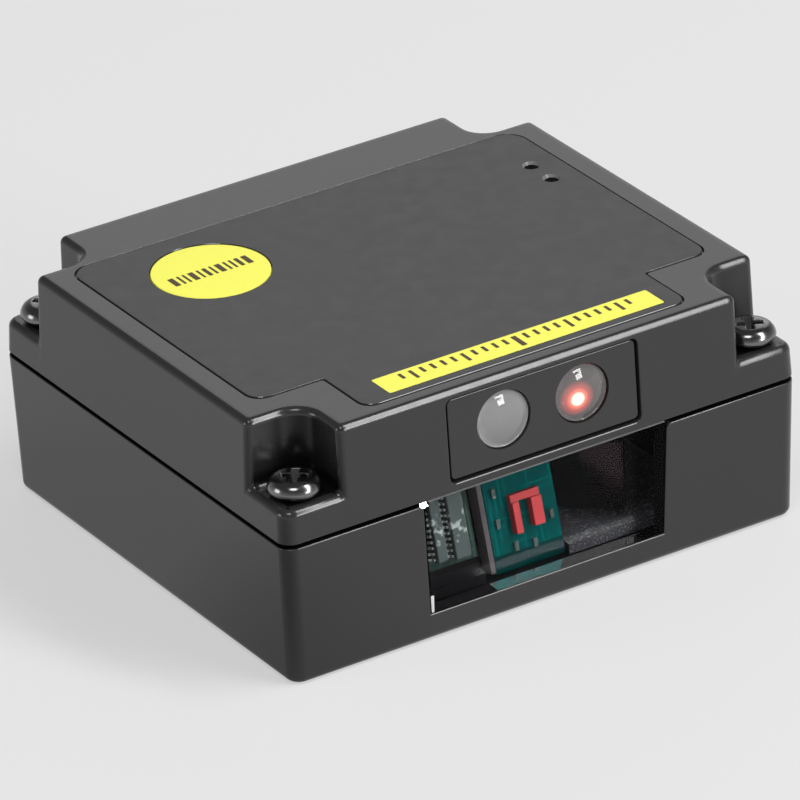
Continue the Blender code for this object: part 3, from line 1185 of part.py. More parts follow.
def drive_coil():
    """Fixed coil behind the magnet: a bobbin with two flanges, and its winding as one ring."""
    far = COIL_LENGTH - COIL_RIM
    profile = [(0, COIL_LENGTH), (COIL_RADIUS, COIL_LENGTH), (COIL_RADIUS, far), (COIL_CORE, far)]
    profile += [(COIL_CORE, COIL_RIM), (COIL_RADIUS, COIL_RIM), (COIL_RADIUS, 0), (0, 0)]
    bobbin = turned("bobbin", profile, TURNED_SIDES)
    place(piece(bobbin, "coil_bobbin", "black_plastic"), coil_place(), COIL_FACING)
    low, high = COIL_RIM + FIT_GAP, far - FIT_GAP
    outer, inner = COIL_RADIUS - WINDING_DROP, COIL_CORE + FIT_GAP
    profile = [(inner, high), (outer, high), (outer, low), (inner, low)]
    winding = turned("winding", profile, TURNED_SIDES, closed=True)
    place(piece(winding, "drive_coil", "copper"), coil_place(), COIL_FACING)


def flex_ribbon():
    """Flat ribbon from the signal board up to the decoder board's socket, one smooth S in Y and Z."""
    lean = Matrix.Rotation(ENGINE_LEAN, 3, "X")
    start = Vector((0, BOARD_FOOT_Y, TRAY_TOP)) + lean @ Vector((0, *RIBBON_START))
    end = Vector((0, *RIBBON_END))
    hand = [start, start + lean @ Vector((0, 0, RIBBON_RISE)), end + Vector((0, RIBBON_REACH, 0)), end]
    curve = bpy.data.curves.new("flex_ribbon", "CURVE")
    curve.dimensions = "3D"
    curve.extrude = RIBBON_HALF_WIDTH
    spline = curve.splines.new("POLY")
    spline.points.add(RIBBON_STEPS)
    for index, point in enumerate(spline.points):
        t = index / RIBBON_STEPS
        weight = [(1 - t) ** 3, 3 * t * (1 - t) ** 2, 3 * t * t * (1 - t), t**3]
        spot = sum((w * h for w, h in zip(weight, hand)), Vector())
        point.co = (spot.y, spot.z, 0.0, 1.0)
    strip = bpy.data.objects.new("flex_ribbon", curve)
    PARTS.objects.link(strip)
    strip = as_mesh(strip)
    thick = strip.modifiers.new("thickness", "SOLIDIFY")
    thick.thickness = RIBBON_THICKNESS
    thick.offset = 0.0
    place(strip, (RIBBON_X, 0, 0), (math.radians(90), 0, math.radians(90)))
    piece(strip, "flex_ribbon", "ribbon")


def main():
    sensor = sensor_frame()
    base_housing()
    top_cover(sensor)
    overlay_film()
    cover_screws()
    small_screws()
    mount_inserts()
    scan_button()
    sensor_assembly(sensor)
    exit_window()
    cable_bush()
    decoder_board()
    status_lights()
    optical_chassis()
    receiver_stack()
    signal_stack()
    laser_source()
    collector_mirror()
    scan_mirror()
    mirror_pivot()
    drive_coil()
    flex_ribbon()


main()
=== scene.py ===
"""Looks of a compact fixed-mount laser scanner module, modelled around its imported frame.

Both die-cast shells, the overlay with its button, the cover screws, the trigger sensor, the exit window, the
boards behind it and the small hardware are modelled here. Nodes that stay inside keep their solids and get a
finish. Lengths are metres, +Z is up and the window faces -Y.
"""

import json
import logging
import math
from collections.abc import Callable, Iterable, Iterator
from contextlib import contextmanager
from dataclasses import dataclass, replace
from enum import Enum
from typing import Any

import bmesh
import bpy
from mathutils import Matrix, Vector


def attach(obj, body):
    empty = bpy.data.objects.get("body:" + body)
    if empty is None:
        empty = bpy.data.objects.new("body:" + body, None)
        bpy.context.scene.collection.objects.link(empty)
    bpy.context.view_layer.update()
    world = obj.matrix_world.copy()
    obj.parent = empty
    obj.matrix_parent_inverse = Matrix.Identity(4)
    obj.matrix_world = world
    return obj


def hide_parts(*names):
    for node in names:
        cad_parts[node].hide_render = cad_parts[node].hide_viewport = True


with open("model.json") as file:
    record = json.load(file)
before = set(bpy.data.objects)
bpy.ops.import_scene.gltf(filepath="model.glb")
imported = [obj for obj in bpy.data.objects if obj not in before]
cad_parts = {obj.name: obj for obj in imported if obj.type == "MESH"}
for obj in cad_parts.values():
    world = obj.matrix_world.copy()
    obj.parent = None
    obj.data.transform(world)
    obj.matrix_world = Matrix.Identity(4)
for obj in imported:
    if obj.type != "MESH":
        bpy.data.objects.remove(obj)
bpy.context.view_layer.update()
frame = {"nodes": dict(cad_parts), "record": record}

MM = 0.001
HOUSING = "housing"
BOARD_LEAN = math.radians(-15.0)
STEEP = 4.0
SQUARE_ON = 0.9
SLACK = 0.05 * MM
CLOSE = 0.01 * MM
CORNERS = {"front_left": (-1, -1), "front_right": (1, -1), "rear_left": (-1, 1), "rear_right": (1, 1)}

Colour = tuple[float, float, float]
Point = tuple[float, float, float]
Pair = tuple[float, float]
Obj = bpy.types.Object
Face = bpy.types.MeshPolygon
Test = Callable[[Any], bool]
BLACK: Colour = (0.0, 0.0, 0.0)
WHITE: Colour = (1.0, 1.0, 1.0)
PAINT: Colour = (0.0265, 0.025, 0.0254)
log = logging.getLogger("scanner_module")


# Shader graphs

def operator(operation: str, swapped: bool = False) -> Callable[..., "Wire"]:
    """An arithmetic method for Wire.

    Args:
        operation: what the Math node does.
        swapped: True if the wire is the second value.

    Returns:
        The method.
    """
    def method(wire: "Wire", *others: "Wire | float") -> "Wire":
        """Adds the Math node."""
        values = (*others, wire) if swapped else (wire, *others)
        return wire.graph.node("ShaderNodeMath", {"operation": operation}, dict(enumerate(values)))

    return method


class Wire:
    """An output of a node. Arithmetic on it adds Math nodes, and numbers may stand for other wires."""

    def __init__(self, graph: "Graph", socket: bpy.types.NodeSocket) -> None:
        """Wraps one output socket of a graph."""
        self.graph = graph
        self.socket = socket

    __add__ = operator("ADD")
    __sub__ = operator("SUBTRACT")
    __rsub__ = operator("SUBTRACT", swapped=True)
    __mul__ = operator("MULTIPLY")
    __truediv__ = operator("DIVIDE")
    __mod__ = operator("FLOORED_MODULO")
    __gt__ = operator("GREATER_THAN")
    __lt__ = operator("LESS_THAN")
    __or__ = operator("MAXIMUM")
    __abs__ = operator("ABSOLUTE")


class Graph:
    """The node tree of one material, with its Principled shader."""

    noise_roughness = 0.55

    def __init__(self, material: bpy.types.Material) -> None:
        """Takes on a material, which gets a Principled shader on its output.

        Args:
            material: the material.
        """
        material.use_nodes = True
        self.tree = material.node_tree
        self.principled = self.tree.nodes["Principled BSDF"]
        self.output = self.tree.nodes["Material Output"]

    def node(
        self,
        kind: str,
        settings: dict[str, Any] | None = None,
        sockets: dict[str | int, Any] | None = None,
        output: str | int = 0,
    ) -> Wire:
        """Adds a node.

        Args:
            kind: Blender's name of the node type.
            settings: properties, set first; "stops" holds a ramp's (position, colour) pairs.
            sockets: values or wires for the inputs, by name or index.
            output: the output to return, by name or index.

        Returns:
            The chosen output.
        """
        made = self.tree.nodes.new(kind)
        for key, value in (settings or {}).items():
            if key == "stops":
                self._set_stops(made.color_ramp.elements, value)
            else:
                setattr(made, key, value)
        for key, value in (sockets or {}).items():
            self.feed(made.inputs[key], value)
        return Wire(self, made.outputs[output])

    @staticmethod
    def _set_stops(elements: Any, stops: Iterable[tuple[float, Colour]]) -> None:
        """Replaces a ramp's stops.

        Args:
            elements: the ramp's elements.
            stops: (position, colour) pairs in rising order.
        """
        for index, (position, colour) in enumerate(stops):
            stop = elements[index] if index < 2 else elements.new(position)
            stop.position = position
            stop.color = (*colour, 1.0)

    def feed(self, socket: bpy.types.NodeSocket, value: Any) -> None:
        """Links a wire to an input, or sets the input to a number, colour or vector.

        Args:
            socket: the input.
            value: a wire or a plain value.
        """
        if isinstance(value, Wire):
            self.tree.links.new(value.socket, socket)
        elif socket.type == "RGBA" and len(value) == 3:
            socket.default_value = (*value, 1.0)
        else:
            socket.default_value = value

    def shade(self, **sockets: Any) -> None:
        """Sets Principled inputs, with underscores for the spaces in their names."""
        for key, value in sockets.items():
            self.feed(self.principled.inputs[key.replace("_", " ")], value)

    def place(self) -> Wire:
        """Object coordinates, which are the row frame's, because every piece sits at the origin."""
        return self.node("ShaderNodeTexCoord", output="Object")

    def turned_place(self, turn: Point) -> Wire:
        """Object coordinates along turned axes, by Euler angles in radians."""
        sockets = {"Vector": self.place(), "Rotation": turn}
        return self.node("ShaderNodeMapping", {"vector_type": "TEXTURE"}, sockets)

    def axes(self, vector: Wire) -> tuple[Wire, Wire, Wire]:
        """X, Y and Z of a vector."""
        return tuple(self.node("ShaderNodeSeparateXYZ", None, {0: vector}, axis) for axis in "XYZ")

    def noise(self, at: Wire, size: float, detail: float = 2.0) -> Wire:
        """Soft noise from 0 to 1 whose spots are about the given size."""
        sockets = {"Vector": at, "Scale": 1 / size, "Detail": detail, "Roughness": self.noise_roughness}
        return self.node("ShaderNodeTexNoise", None, sockets)

    def blend(self, factor: Wire | float, first: Any, second: Any) -> Wire:
        """Mixes two colours."""
        return self.node("ShaderNodeMix", {"data_type": "RGBA"}, {0: factor, 6: first, 7: second}, 2)

    def ramp(self, factor: Wire, *stops: tuple[float, Colour]) -> Wire:
        """Colours along a value from 0 to 1."""
        return self.node("ShaderNodeValToRGB", {"stops": stops}, {0: factor})

    def fade(self, factor: Wire, start: float, end: float) -> Wire:
        """A mask that rises from 0 to 1 as a value goes from start to end."""
        return self.ramp(factor, (start, BLACK), (end, WHITE))

    def apart(self, at: Point) -> Wire:
        """How far the surface is from a point."""
        sockets = {0: self.place(), 1: at}
        return self.node("ShaderNodeVectorMath", {"operation": "DISTANCE"}, sockets, "Value")

    def mottled(self, factor: Wire, colour: Colour, dark: float, light: float) -> Wire:
        """A colour that varies between a darker and a lighter share of itself."""
        return self.blend(factor, scaled(colour, dark), scaled(colour, light))

    def bump(self, height: Wire, depth: float) -> None:
        """Roughens the shading by a height that spans the given depth."""
        sockets = {"Height": height, "Distance": depth, "Strength": 1.0}
        self.shade(Normal=self.node("ShaderNodeBump", None, sockets))

    def let_lamps_through(self, tint: Colour) -> None:
        """Lets shadow rays pass a clear material, so that lamps reach what is behind it.

        Args:
            tint: the colour that the light takes on.
        """
        shadow = self.node("ShaderNodeLightPath", output="Is Shadow Ray")
        open_path = self.node("ShaderNodeBsdfTransparent", None, {"Color": tint})
        sockets = {0: shadow, 1: Wire(self, self.principled.outputs[0]), 2: open_path}
        self.feed(self.output.inputs["Surface"], self.node("ShaderNodeMixShader", None, sockets))


def scaled(colour: Colour, share: float) -> Colour:
    """The colour, made lighter or darker."""
    return tuple(min(1.0, part * share) for part in colour)


# Finishes

@dataclass(frozen=True)
class Finish:
    """A surface finish: a name, a colour and a gloss. Subclasses add what the material shows up close."""

    name: str
    colour: Colour
    roughness: float

    def material(self) -> bpy.types.Material:
        """The material, made on first use.

        Returns:
            The material.
        """
        known = bpy.data.materials.get(self.name)
        if known:
            return known
        made = bpy.data.materials.new(self.name)
        self.dress(Graph(made))
        return made

    def dress(self, graph: Graph) -> None:
        """Fills in the material's nodes."""
        graph.shade(Base_Color=self.colour, Roughness=self.roughness)


@dataclass(frozen=True)
class Coated(Finish):
    """Paint or moulded plastic: cloudy tone, uneven gloss and a fine grain."""

    cloud: float = 5.0 * MM
    cloud_spread: float = 0.05
    grain: float = 0.14 * MM
    grain_depth: float = 0.004 * MM
    gloss_spread: float = 0.08
    specular: float = 0.5

    def dress(self, graph: Graph) -> None:
        """Adds the clouds, the uneven gloss and the grain.

        Args:
            graph: the material's node tree.
        """
        at = graph.place()
        cloud = graph.noise(at, self.cloud, 3.0)
        grain = graph.noise(at, self.grain, 2.0)
        uneven = (graph.noise(at, self.cloud / 3) - 0.5) * (2 * self.gloss_spread)
        graph.shade(
            Base_Color=graph.mottled(cloud, self.colour, 1 - self.cloud_spread, 1 + self.cloud_spread),
            Roughness=uneven + (grain - 0.5) * self.gloss_spread + self.roughness,
            Specular_IOR_Level=self.specular,
        )
        graph.bump(grain, self.grain_depth)


@dataclass(frozen=True)
class Cast(Coated):
    """Casting or moulding whose coarse skin shows paler grains."""

    pale: Colour = (0.11, 0.105, 0.12)
    grain_size: float = 0.2 * MM
    least: float = 0.6
    fade: float = 0.004
    level: float = 0.0
    reach: float = 1.0

    def dress(self, graph: Graph) -> None:
        """Adds the pale grains to the coat, fewer of them away from one level.

        Args:
            graph: the material's node tree.
        """
        super().dress(graph)
        gap = (graph.axes(graph.place())[2] - self.level) / self.reach
        grains = graph.noise(graph.place(), self.grain_size, 1.0) - gap * gap
        mask = graph.fade(grains, self.least - self.fade, self.least + self.fade)
        graph.shade(Base_Color=graph.blend(mask, self.colour, self.pale))


@dataclass(frozen=True)
class PaintedPocketShade(Coated):
    """A coat with painted shade: darker deep in the pockets at the four corners of a shell."""

    open_colour: Colour = PAINT
    near: Pair = (0.0, 0.0)
    far: Pair = (1.0, 1.0)
    floor: float = 0.0
    climb: float = 4.4 * MM
    outward: Pair = (0.1, 0.7)
    upward: Pair = (0.15, 1.0)

    def dress(self, graph: Graph) -> None:
        """Fades the colour from painted shade at the pockets' floors and inner corners to the plain coat at
        their open edges.

        Args:
            graph: the material's node tree.
        """
        super().dress(graph)
        x, y, z = graph.axes(graph.place())
        open_x, open_y = (
            (abs(wire) - near) / (far - near) for wire, near, far in zip((x, y), self.near, self.far)
        )
        outward = graph.fade(open_x | open_y, *self.outward)
        upward = graph.fade((z - self.floor) / self.climb, *self.upward)
        graph.shade(Base_Color=graph.blend(outward * upward, self.colour, self.open_colour))


@dataclass(frozen=True)
class Printed(Finish):
    """Screen-printed ink: flat colour with a faint mottle and soft gloss."""

    mottle: float = 0.3 * MM
    tones: Pair = (0.96, 1.03)
    gloss_spread: float = 0.12
    ink_depth: float = 0.001 * MM

    def dress(self, graph: Graph) -> None:
        """Adds the mottle and the ink's slight texture.

        Args:
            graph: the material's node tree.
        """
        mottle = graph.noise(graph.place(), self.mottle, 3.0)
        graph.shade(
            Base_Color=graph.mottled(mottle, self.colour, *self.tones),
            Roughness=mottle * self.gloss_spread + self.roughness,
        )
        graph.bump(mottle, self.ink_depth)


@dataclass(frozen=True)
class Metal(Finish):
    """Bare or plated metal, with fine tool marks and small dull spots."""

    marks: float = 0.12 * MM
    depth: float = 0.0015 * MM
    spots: float = 0.9 * MM
    tones: Pair = (0.85, 1.1)
    marks_dull: float = 0.1
    spots_dull: float = 0.08

    def dress(self, graph: Graph) -> None:
        """Adds the tool marks and the dull spots.

        Args:
            graph: the material's node tree.
        """
        place = graph.place()
        marks = graph.noise(place, self.marks, 3.0)
        spots = graph.noise(place, self.spots, 2.0)
        dull = marks * self.marks_dull + spots * self.spots_dull
        graph.shade(
            Base_Color=graph.mottled(spots, self.colour, *self.tones),
            Metallic=1.0,
            Roughness=dull + (self.roughness - self.spots_dull),
        )
        graph.bump(marks, self.depth)


@dataclass(frozen=True)
class Clear(Finish):
    """Clear moulding or glass that lets the lamps through."""

    haze: float = 0.0
    refraction: float = 1.49
    wipe: float = 1.4 * MM
    wipe_dull: float = 0.03
    let_through: float = 0.92

    def dress(self, graph: Graph) -> None:
        """Makes it clear, with faint polishing marks.

        Args:
            graph: the material's node tree.
        """
        wipe = graph.noise(graph.place(), self.wipe, 3.0)
        graph.shade(
            Base_Color=self.colour,
            Roughness=wipe * self.wipe_dull + self.roughness,
            IOR=self.refraction,
            Transmission_Weight=1.0 - self.haze,
        )
        graph.let_lamps_through(scaled(self.colour, self.let_through))


@dataclass(frozen=True)
class SolderMask(Finish):
    """A circuit board's mask over its tracks, which run up and across the board, with its foot darkened as
    painted shade.
    """

    track: Colour = (0.05, 0.3, 0.2)
    pitch: float = 0.55 * MM
    width: float = 0.3
    lean: float = 0.0
    shaded_foot: float = 0.0
    shaded_foot_share: float = 0.35
    specular: float = 0.0
    fine: float = 900.0
    coarse: float = 150.0
    breaks: Pair = (0.5, 0.56)
    mottle: float = 0.4 * MM
    tones: Pair = (0.8, 1.15)
    gloss_spread: float = 0.15
    depth: float = 0.02 * MM
    mottle_depth: float = 0.2

    def dress(self, graph: Graph) -> None:
        """Draws the tracks as slightly raised bands that stop and start.

        Args:
            graph: the material's node tree.
        """
        x, y, z = graph.axes(graph.turned_place((self.lean, 0, 0)))
        up = y + z
        rising = self.lanes(graph, x, (x * self.fine, z * self.coarse), self.breaks[0])
        crossing = self.lanes(graph, up, (x * self.coarse, up * self.fine), self.breaks[1])
        tracks = rising | crossing
        mottle = graph.noise(graph.place(), self.mottle, 3.0)
        mask = graph.mottled(mottle, self.colour, *self.tones)
        height = graph.axes(graph.place())[2]
        # painted shade: the mask is darker below the foot height
        shaded_foot_colour = scaled(self.colour, self.shaded_foot_share)
        graph.shade(
            Base_Color=graph.blend(height < self.shaded_foot, graph.blend(tracks, mask, self.track), shaded_foot_colour),
            Roughness=mottle * self.gloss_spread + self.roughness,
            Specular_IOR_Level=self.specular,
        )
        graph.bump(tracks + mottle * self.mottle_depth, self.depth)

    def lanes(self, graph: Graph, across: Wire, cells: tuple[Wire, Wire], least: float) -> Wire:
        """A mask of bands at even steps, each broken off where a drawn-out noise is low."""
        noise = graph.noise(graph.node("ShaderNodeCombineXYZ", None, dict(enumerate(cells))), 1.0)
        return ((across / self.pitch) % 1.0 < self.width) * (noise > least)


@dataclass(frozen=True)
class Wound(Finish):
    """Enamelled wire wound in close turns about a level axis."""

    axis: Point = (0.7071, 0.7071, 0.0)
    wire: float = 0.16 * MM
    ridge: float = 0.06 * MM
    gap_share: float = 0.35
    metallic: float = 0.9

    def dress(self, graph: Graph) -> None:
        """Draws the turns as ridges across the axis.

        Args:
            graph: the material's node tree.
        """
        sockets = {0: graph.place(), 1: self.axis}
        along = graph.node("ShaderNodeVectorMath", {"operation": "DOT_PRODUCT"}, sockets, "Value")
        turn = (along / self.wire) % 1.0
        ridge = turn * (1 - turn) * 4.0
        graph.shade(
            Base_Color=graph.mottled(ridge, self.colour, self.gap_share, 1.0),
            Metallic=self.metallic,
            Roughness=self.roughness,
        )
        graph.bump(ridge, self.ridge)


@dataclass(frozen=True)
class PaintedGlowLens(Clear):
    """A hazy lens with a lamp close behind it, whose light is painted into its face as a glowing core."""

    centre: Point = (0.0, 0.0, 0.0)
    reach: float = 2.0 * MM
    strength: float = 1.5
    glow: tuple[tuple[float, Colour], ...] = (
        (0.0, (1.0, 0.95, 0.85)), (0.23, (1.0, 0.82, 0.6)), (0.34, (0.75, 0.13, 0.08)),
        (0.5, (0.3, 0.03, 0.02)), (0.8, BLACK),
    )

    def dress(self, graph: Graph) -> None:
        """Adds the painted glow, which fades from a white core through red to nothing.

        Args:
            graph: the material's node tree.
        """
        super().dress(graph)
        glow = graph.ramp(graph.apart(self.centre) / self.reach, *self.glow)
        graph.shade(Emission_Color=glow, Emission_Strength=self.strength)


class Slot(Enum):
    """The record's material slots."""

    HOUSING = "housing"
    OVERLAY = "overlay"
    YELLOW = "button_yellow"
    BLACK = "black_plastic"
    STEEL = "screw_steel"
    LENS = "clear_lens"
    LAMP = "emitter_red"
    PANE = "window_clear"
    GREEN = "board_green"
    TEAL = "board_teal"
    CLIP = "clip_red"
    CHIP = "chip_black"
    GREY = "part_grey"
    WHITE = "white_plastic"
    CHASSIS = "chassis"
    MIRROR = "mirror_glass"
    BRASS = "brass"
    COPPER = "copper"
    MAGNET = "magnet"
    FILTER = "filter_red"
    RUBBER = "rubber"
    RIBBON = "ribbon"


FINISHES: dict[Slot, Finish] = {
    Slot.HOUSING: Coated("cast_paint", PAINT, 0.2, grain_depth=0.0016 * MM, gloss_spread=0.05),
    Slot.OVERLAY: Coated("matt_film", (0.043, 0.043, 0.0435), 0.4, cloud_spread=0.03, grain=0.09 * MM,
                         grain_depth=0.002 * MM, specular=0.3),
    Slot.YELLOW: Printed("yellow_ink", (0.97, 0.95, 0.11), 0.42),
    Slot.BLACK: Coated("black_moulding", (0.012, 0.012, 0.013), 0.45, specular=0.3),
    Slot.STEEL: Metal("black_oxide", (0.2, 0.197, 0.197), 0.18),
    Slot.LENS: Clear("moulded_lens", (0.62, 0.62, 0.62), 0.02, haze=0.36),
    Slot.LAMP: Clear("tinted_lamp", (0.85, 0.1, 0.06), 0.08, haze=0.3),
    Slot.PANE: Clear("window_pane", (0.94, 0.96, 0.96), 0.01, refraction=1.12),
    Slot.GREEN: SolderMask("green_mask", (0.02, 0.036, 0.031), 0.65, track=(0.04, 0.07, 0.058)),
    # the teal board's lowest 3.5 mm is darkened as painted shade
    Slot.TEAL: SolderMask("teal_mask", (0.0, 0.053, 0.051), 0.65, track=(0.0, 0.095, 0.092), lean=BOARD_LEAN,
                          shaded_foot=3.5 * MM),
    Slot.CLIP: Coated("red_clip", (0.42, 0.03, 0.034), 0.4, specular=0.2),
    Slot.CHIP: Coated("chip_epoxy", (0.02, 0.02, 0.022), 0.42, grain=0.06 * MM),
    Slot.GREY: Cast("pale_part", (0.058, 0.073, 0.072), 0.5, specular=0.1, pale=(0.36, 0.39, 0.38),
                    grain_size=0.6 * MM, least=0.53, fade=0.07, level=7.5 * MM, reach=3.2 * MM),
    Slot.WHITE: Coated("white_moulding", (0.72, 0.72, 0.69), 0.42),
    # the chassis's own black, also used as painted shade inside the shells and on the window's side walls
    Slot.CHASSIS: Coated("black_casting_and_painted_shade", (0.006, 0.0055, 0.0064), 0.55, grain=0.2 * MM, specular=0.0),
    Slot.MIRROR: Metal("laser_mirror", (0.024, 0.015, 0.018), 0.1, depth=0.0002 * MM),
    Slot.BRASS: Metal("turned_brass", (0.62, 0.46, 0.2), 0.3),
    Slot.COPPER: Wound("enamelled_wire", (0.62, 0.24, 0.1), 0.3),
    Slot.MAGNET: Metal("nickel", (0.5, 0.5, 0.51), 0.26),
    Slot.FILTER: Clear("red_filter", (0.07, 0.002, 0.003), 0.03),
    Slot.RUBBER: Coated("moulded_rubber", (0.016, 0.016, 0.017), 0.62, grain=0.2 * MM),
    Slot.RIBBON: Coated("flat_cable", (0.62, 0.64, 0.66), 0.38),
}


# Modelling steps

class Pick(Enum):
    """What an edit-mode step selects."""

    VERTS = "VERT"
    EDGES = "EDGE"
    FACES = "FACE"


class Join(Enum):
    """What a boolean does with its tool."""

    CUT = "DIFFERENCE"
    FUSE = "UNION"


class Bench:
    """Modelling steps made with Blender's operators."""

    tiny = 0.002 * MM
    flat = math.radians(1.0)
    hole_sides = 4

    @staticmethod
    def use(obj: Obj | None = None) -> None:
        """Leaves edit mode, deselects everything, and makes one object active.

        Args:
            obj: the object to work on, or None.
        """
        if bpy.context.mode != "OBJECT":
            bpy.ops.object.mode_set(mode="OBJECT")
        bpy.ops.object.select_all(action="DESELECT")
        if obj:
            obj.select_set(True)
            bpy.context.view_layer.objects.active = obj

    @staticmethod
    @contextmanager
    def editing(obj: Obj) -> Iterator[None]:
        """Works on an object in edit mode, where everything is selected at first.

        Args:
            obj: the object.
        """
        Bench.use(obj)
        bpy.ops.object.mode_set(mode="EDIT")
        bpy.ops.mesh.select_all(action="SELECT")
        yield
        bpy.ops.object.mode_set(mode="OBJECT")

    @staticmethod
    def settle(obj: Obj, matrix: Matrix | None = None) -> Obj:
        """Moves an object's place into its mesh.

        Args:
            obj: the object.
            matrix: a placing to apply after its own, or None.

        Returns:
            The object, back at the origin.
        """
        Bench.use(obj)
        if matrix:
            obj.matrix_world = matrix @ obj.matrix_world
        bpy.ops.object.transform_apply(location=True, rotation=True, scale=True)
        return obj

    @staticmethod
    def box(name: str, low: Iterable[float], high: Iterable[float]) -> Obj:
        """A box between two corners, given in any order.

        Args:
            name: the object's name.
            low: one corner.
            high: the opposite corner.

        Returns:
            The box.
        """
        low, high = Vector(low), Vector(high)
        Bench.use()
        bpy.ops.mesh.primitive_cube_add(size=1.0, location=(low + high) / 2)
        made = bpy.context.active_object
        made.name = name
        made.scale = [abs(part) for part in high - low]
        return Bench.settle(made)

    @staticmethod
    def rod(name: str, radius: float, low: float, high: float, at: Pair, sides: int) -> Obj:
        """An upright cylinder.

        Args:
            name: the object's name.
            radius: its radius.
            low: height of its foot.
            high: height of its top.
            at: X and Y of its axis.
            sides: how many sides it has.

        Returns:
            The cylinder.
        """
        Bench.use()
        bpy.ops.mesh.primitive_cylinder_add(
            vertices=sides, radius=radius, depth=high - low, location=(*at, (low + high) / 2)
        )
        made = bpy.context.active_object
        made.name = name
        return Bench.settle(made)

    @staticmethod
    def turned(name: str, profile: list[Pair], sides: int, ring: bool = False) -> Obj:
        """A turned shape about +Z: a circle, drawn out and resized along a profile.

        Args:
            name: the object's name.
            profile: (radius, height) pairs.
            sides: how many sides it has.
            ring: True if the profile closes on itself round a bore.

        Returns:
            The turned object.
        """
        Bench.use()
        first, height = profile[0]
        bpy.ops.mesh.primitive_circle_add(vertices=sides, radius=first, location=(0, 0, height))
        made = Bench.settle(bpy.context.active_object)
        made.name = name
        with Bench.editing(made):
            if not ring:
                bpy.ops.mesh.edge_face_add()
                Bench.pick(made, Pick.EDGES, lambda edge: True)
            radius = first
            for wide, high in profile[1:] + (profile[:1] if ring else []):
                grow = wide / radius
                bpy.ops.mesh.extrude_edges_move(TRANSFORM_OT_translate={"value": (0, 0, high - height)})
                bpy.ops.transform.resize(value=(grow, grow, 1.0), center_override=(0, 0, high))
                radius, height = wide, high
            if not ring:
                bpy.ops.mesh.edge_face_add()
        return Bench.tidy(made)

    @staticmethod
    def tidy(obj: Obj) -> Obj:
        """Merges doubles and turns the faces outwards.

        Args:
            obj: the object.

        Returns:
            The object.
        """
        with Bench.editing(obj):
            bpy.ops.mesh.remove_doubles(threshold=Bench.tiny)
            bpy.ops.mesh.normals_make_consistent(inside=False)
        return obj

    @staticmethod
    def pick(obj: Obj, kind: Pick, test: Test) -> None:
        """Selects what passes a test, in edit mode, and nothing else.

        Args:
            obj: the object, in edit mode.
            kind: vertices, edges or faces.
            test: is given each element.
        """
        bpy.ops.mesh.select_mode(type=kind.value)
        bpy.ops.mesh.select_all(action="DESELECT")
        mesh = bmesh.from_edit_mesh(obj.data)
        for element in getattr(mesh, kind.name.lower()):
            if test(element):
                element.select_set(True)
        mesh.select_flush_mode()
        bmesh.update_edit_mesh(obj.data)

    @staticmethod
    def round_edges(obj: Obj, test: Test, radius: float, steps: int = 8) -> Obj:
        """Rounds the edges that pass a test.

        Args:
            obj: the object.
            test: is given each edge.
            radius: the rounding's radius.
            steps: facets across it.

        Returns:
            The object.
        """
        with Bench.editing(obj):
            Bench.pick(obj, Pick.EDGES, test)
            bpy.ops.mesh.bevel(offset=radius, segments=steps, profile=0.5, affect="EDGES", clamp_overlap=True)
        return obj

    @staticmethod
    def taper(obj: Obj, height: float, share: Pair) -> Obj:
        """Resizes the vertices at one height about their middle.

        Args:
            obj: the object.
            height: the height of the vertices.
            share: factors in X and Y.

        Returns:
            The object.
        """
        with Bench.editing(obj):
            Bench.pick(obj, Pick.VERTS, lambda vert: abs(vert.co.z - height) < Bench.tiny)
            chosen = [vert.co.copy() for vert in bmesh.from_edit_mesh(obj.data).verts if vert.select]
            centre = sum(chosen, Vector()) / len(chosen)
            bpy.ops.transform.resize(value=(*share, 1.0), center_override=centre)
        return obj

    @staticmethod
    def modify(obj: Obj, kind: str, **settings: Any) -> Obj:
        """Adds a modifier and applies it.

        Args:
            obj: the object.
            kind: Blender's name of the modifier type.
            settings: the modifier's properties.

        Returns:
            The object.
        """
        Bench.use(obj)
        step = obj.modifiers.new(kind.lower(), kind)
        for key, value in settings.items():
            setattr(step, key, value)
        bpy.ops.object.modifier_apply(modifier=step.name)
        return obj

    @staticmethod
    def combine(obj: Obj, tool: Obj, how: Join = Join.CUT) -> Obj:
        """Cuts an object with a tool or fuses the tool to it, and removes the tool.

        Args:
            obj: the object.
            tool: the cutting or added shape.
            how: cut or fuse.

        Returns:
            The object.
        """
        Bench.modify(obj, "BOOLEAN", operation=how.value, object=tool, solver="EXACT")
        Bench.scrap(tool)
        return obj

    @staticmethod
    def bore(obj: Obj, radius: float, low: float, high: float, at: Pair, sides: int) -> Obj:
        """Bores an upright hole between two heights."""
        return Bench.combine(obj, Bench.rod("bore", radius, low, high, at, sides))

    @staticmethod
    def stud(obj: Obj, radius: float, low: float, high: float, at: Pair, sides: int) -> Obj:
        """Fuses an upright stud between two heights."""
        return Bench.combine(obj, Bench.rod("stud", radius, low, high, at, sides), Join.FUSE)

    @staticmethod
    def scrap(*spares: Obj) -> None:
        """Removes objects that were only tools or patterns."""
        for spare in spares:
            bpy.data.objects.remove(spare, do_unlink=True)

    @staticmethod
    def soften(obj: Obj, width: float, steps: int = 3, angle: float = 40.0) -> Obj:
        """Rounds every edge whose faces meet at more than an angle, given in degrees."""
        how = {"limit_method": "ANGLE", "angle_limit": math.radians(angle)}
        return Bench.modify(obj, "BEVEL", width=width, segments=steps, **how)

    @staticmethod
    def cut_off(obj: Obj, at: Point, outward: Point) -> None:
        """Cuts off all that is past a plane and closes the cut."""
        with Bench.editing(obj):
            bpy.ops.mesh.bisect(plane_co=at, plane_no=outward, use_fill=True, clear_outer=True)

    @staticmethod
    def score(obj: Obj, at: Point, facing: Point) -> None:
        """Divides the faces that a plane crosses, and leaves the shape as it is."""
        with Bench.editing(obj):
            bpy.ops.mesh.bisect(plane_co=at, plane_no=facing)

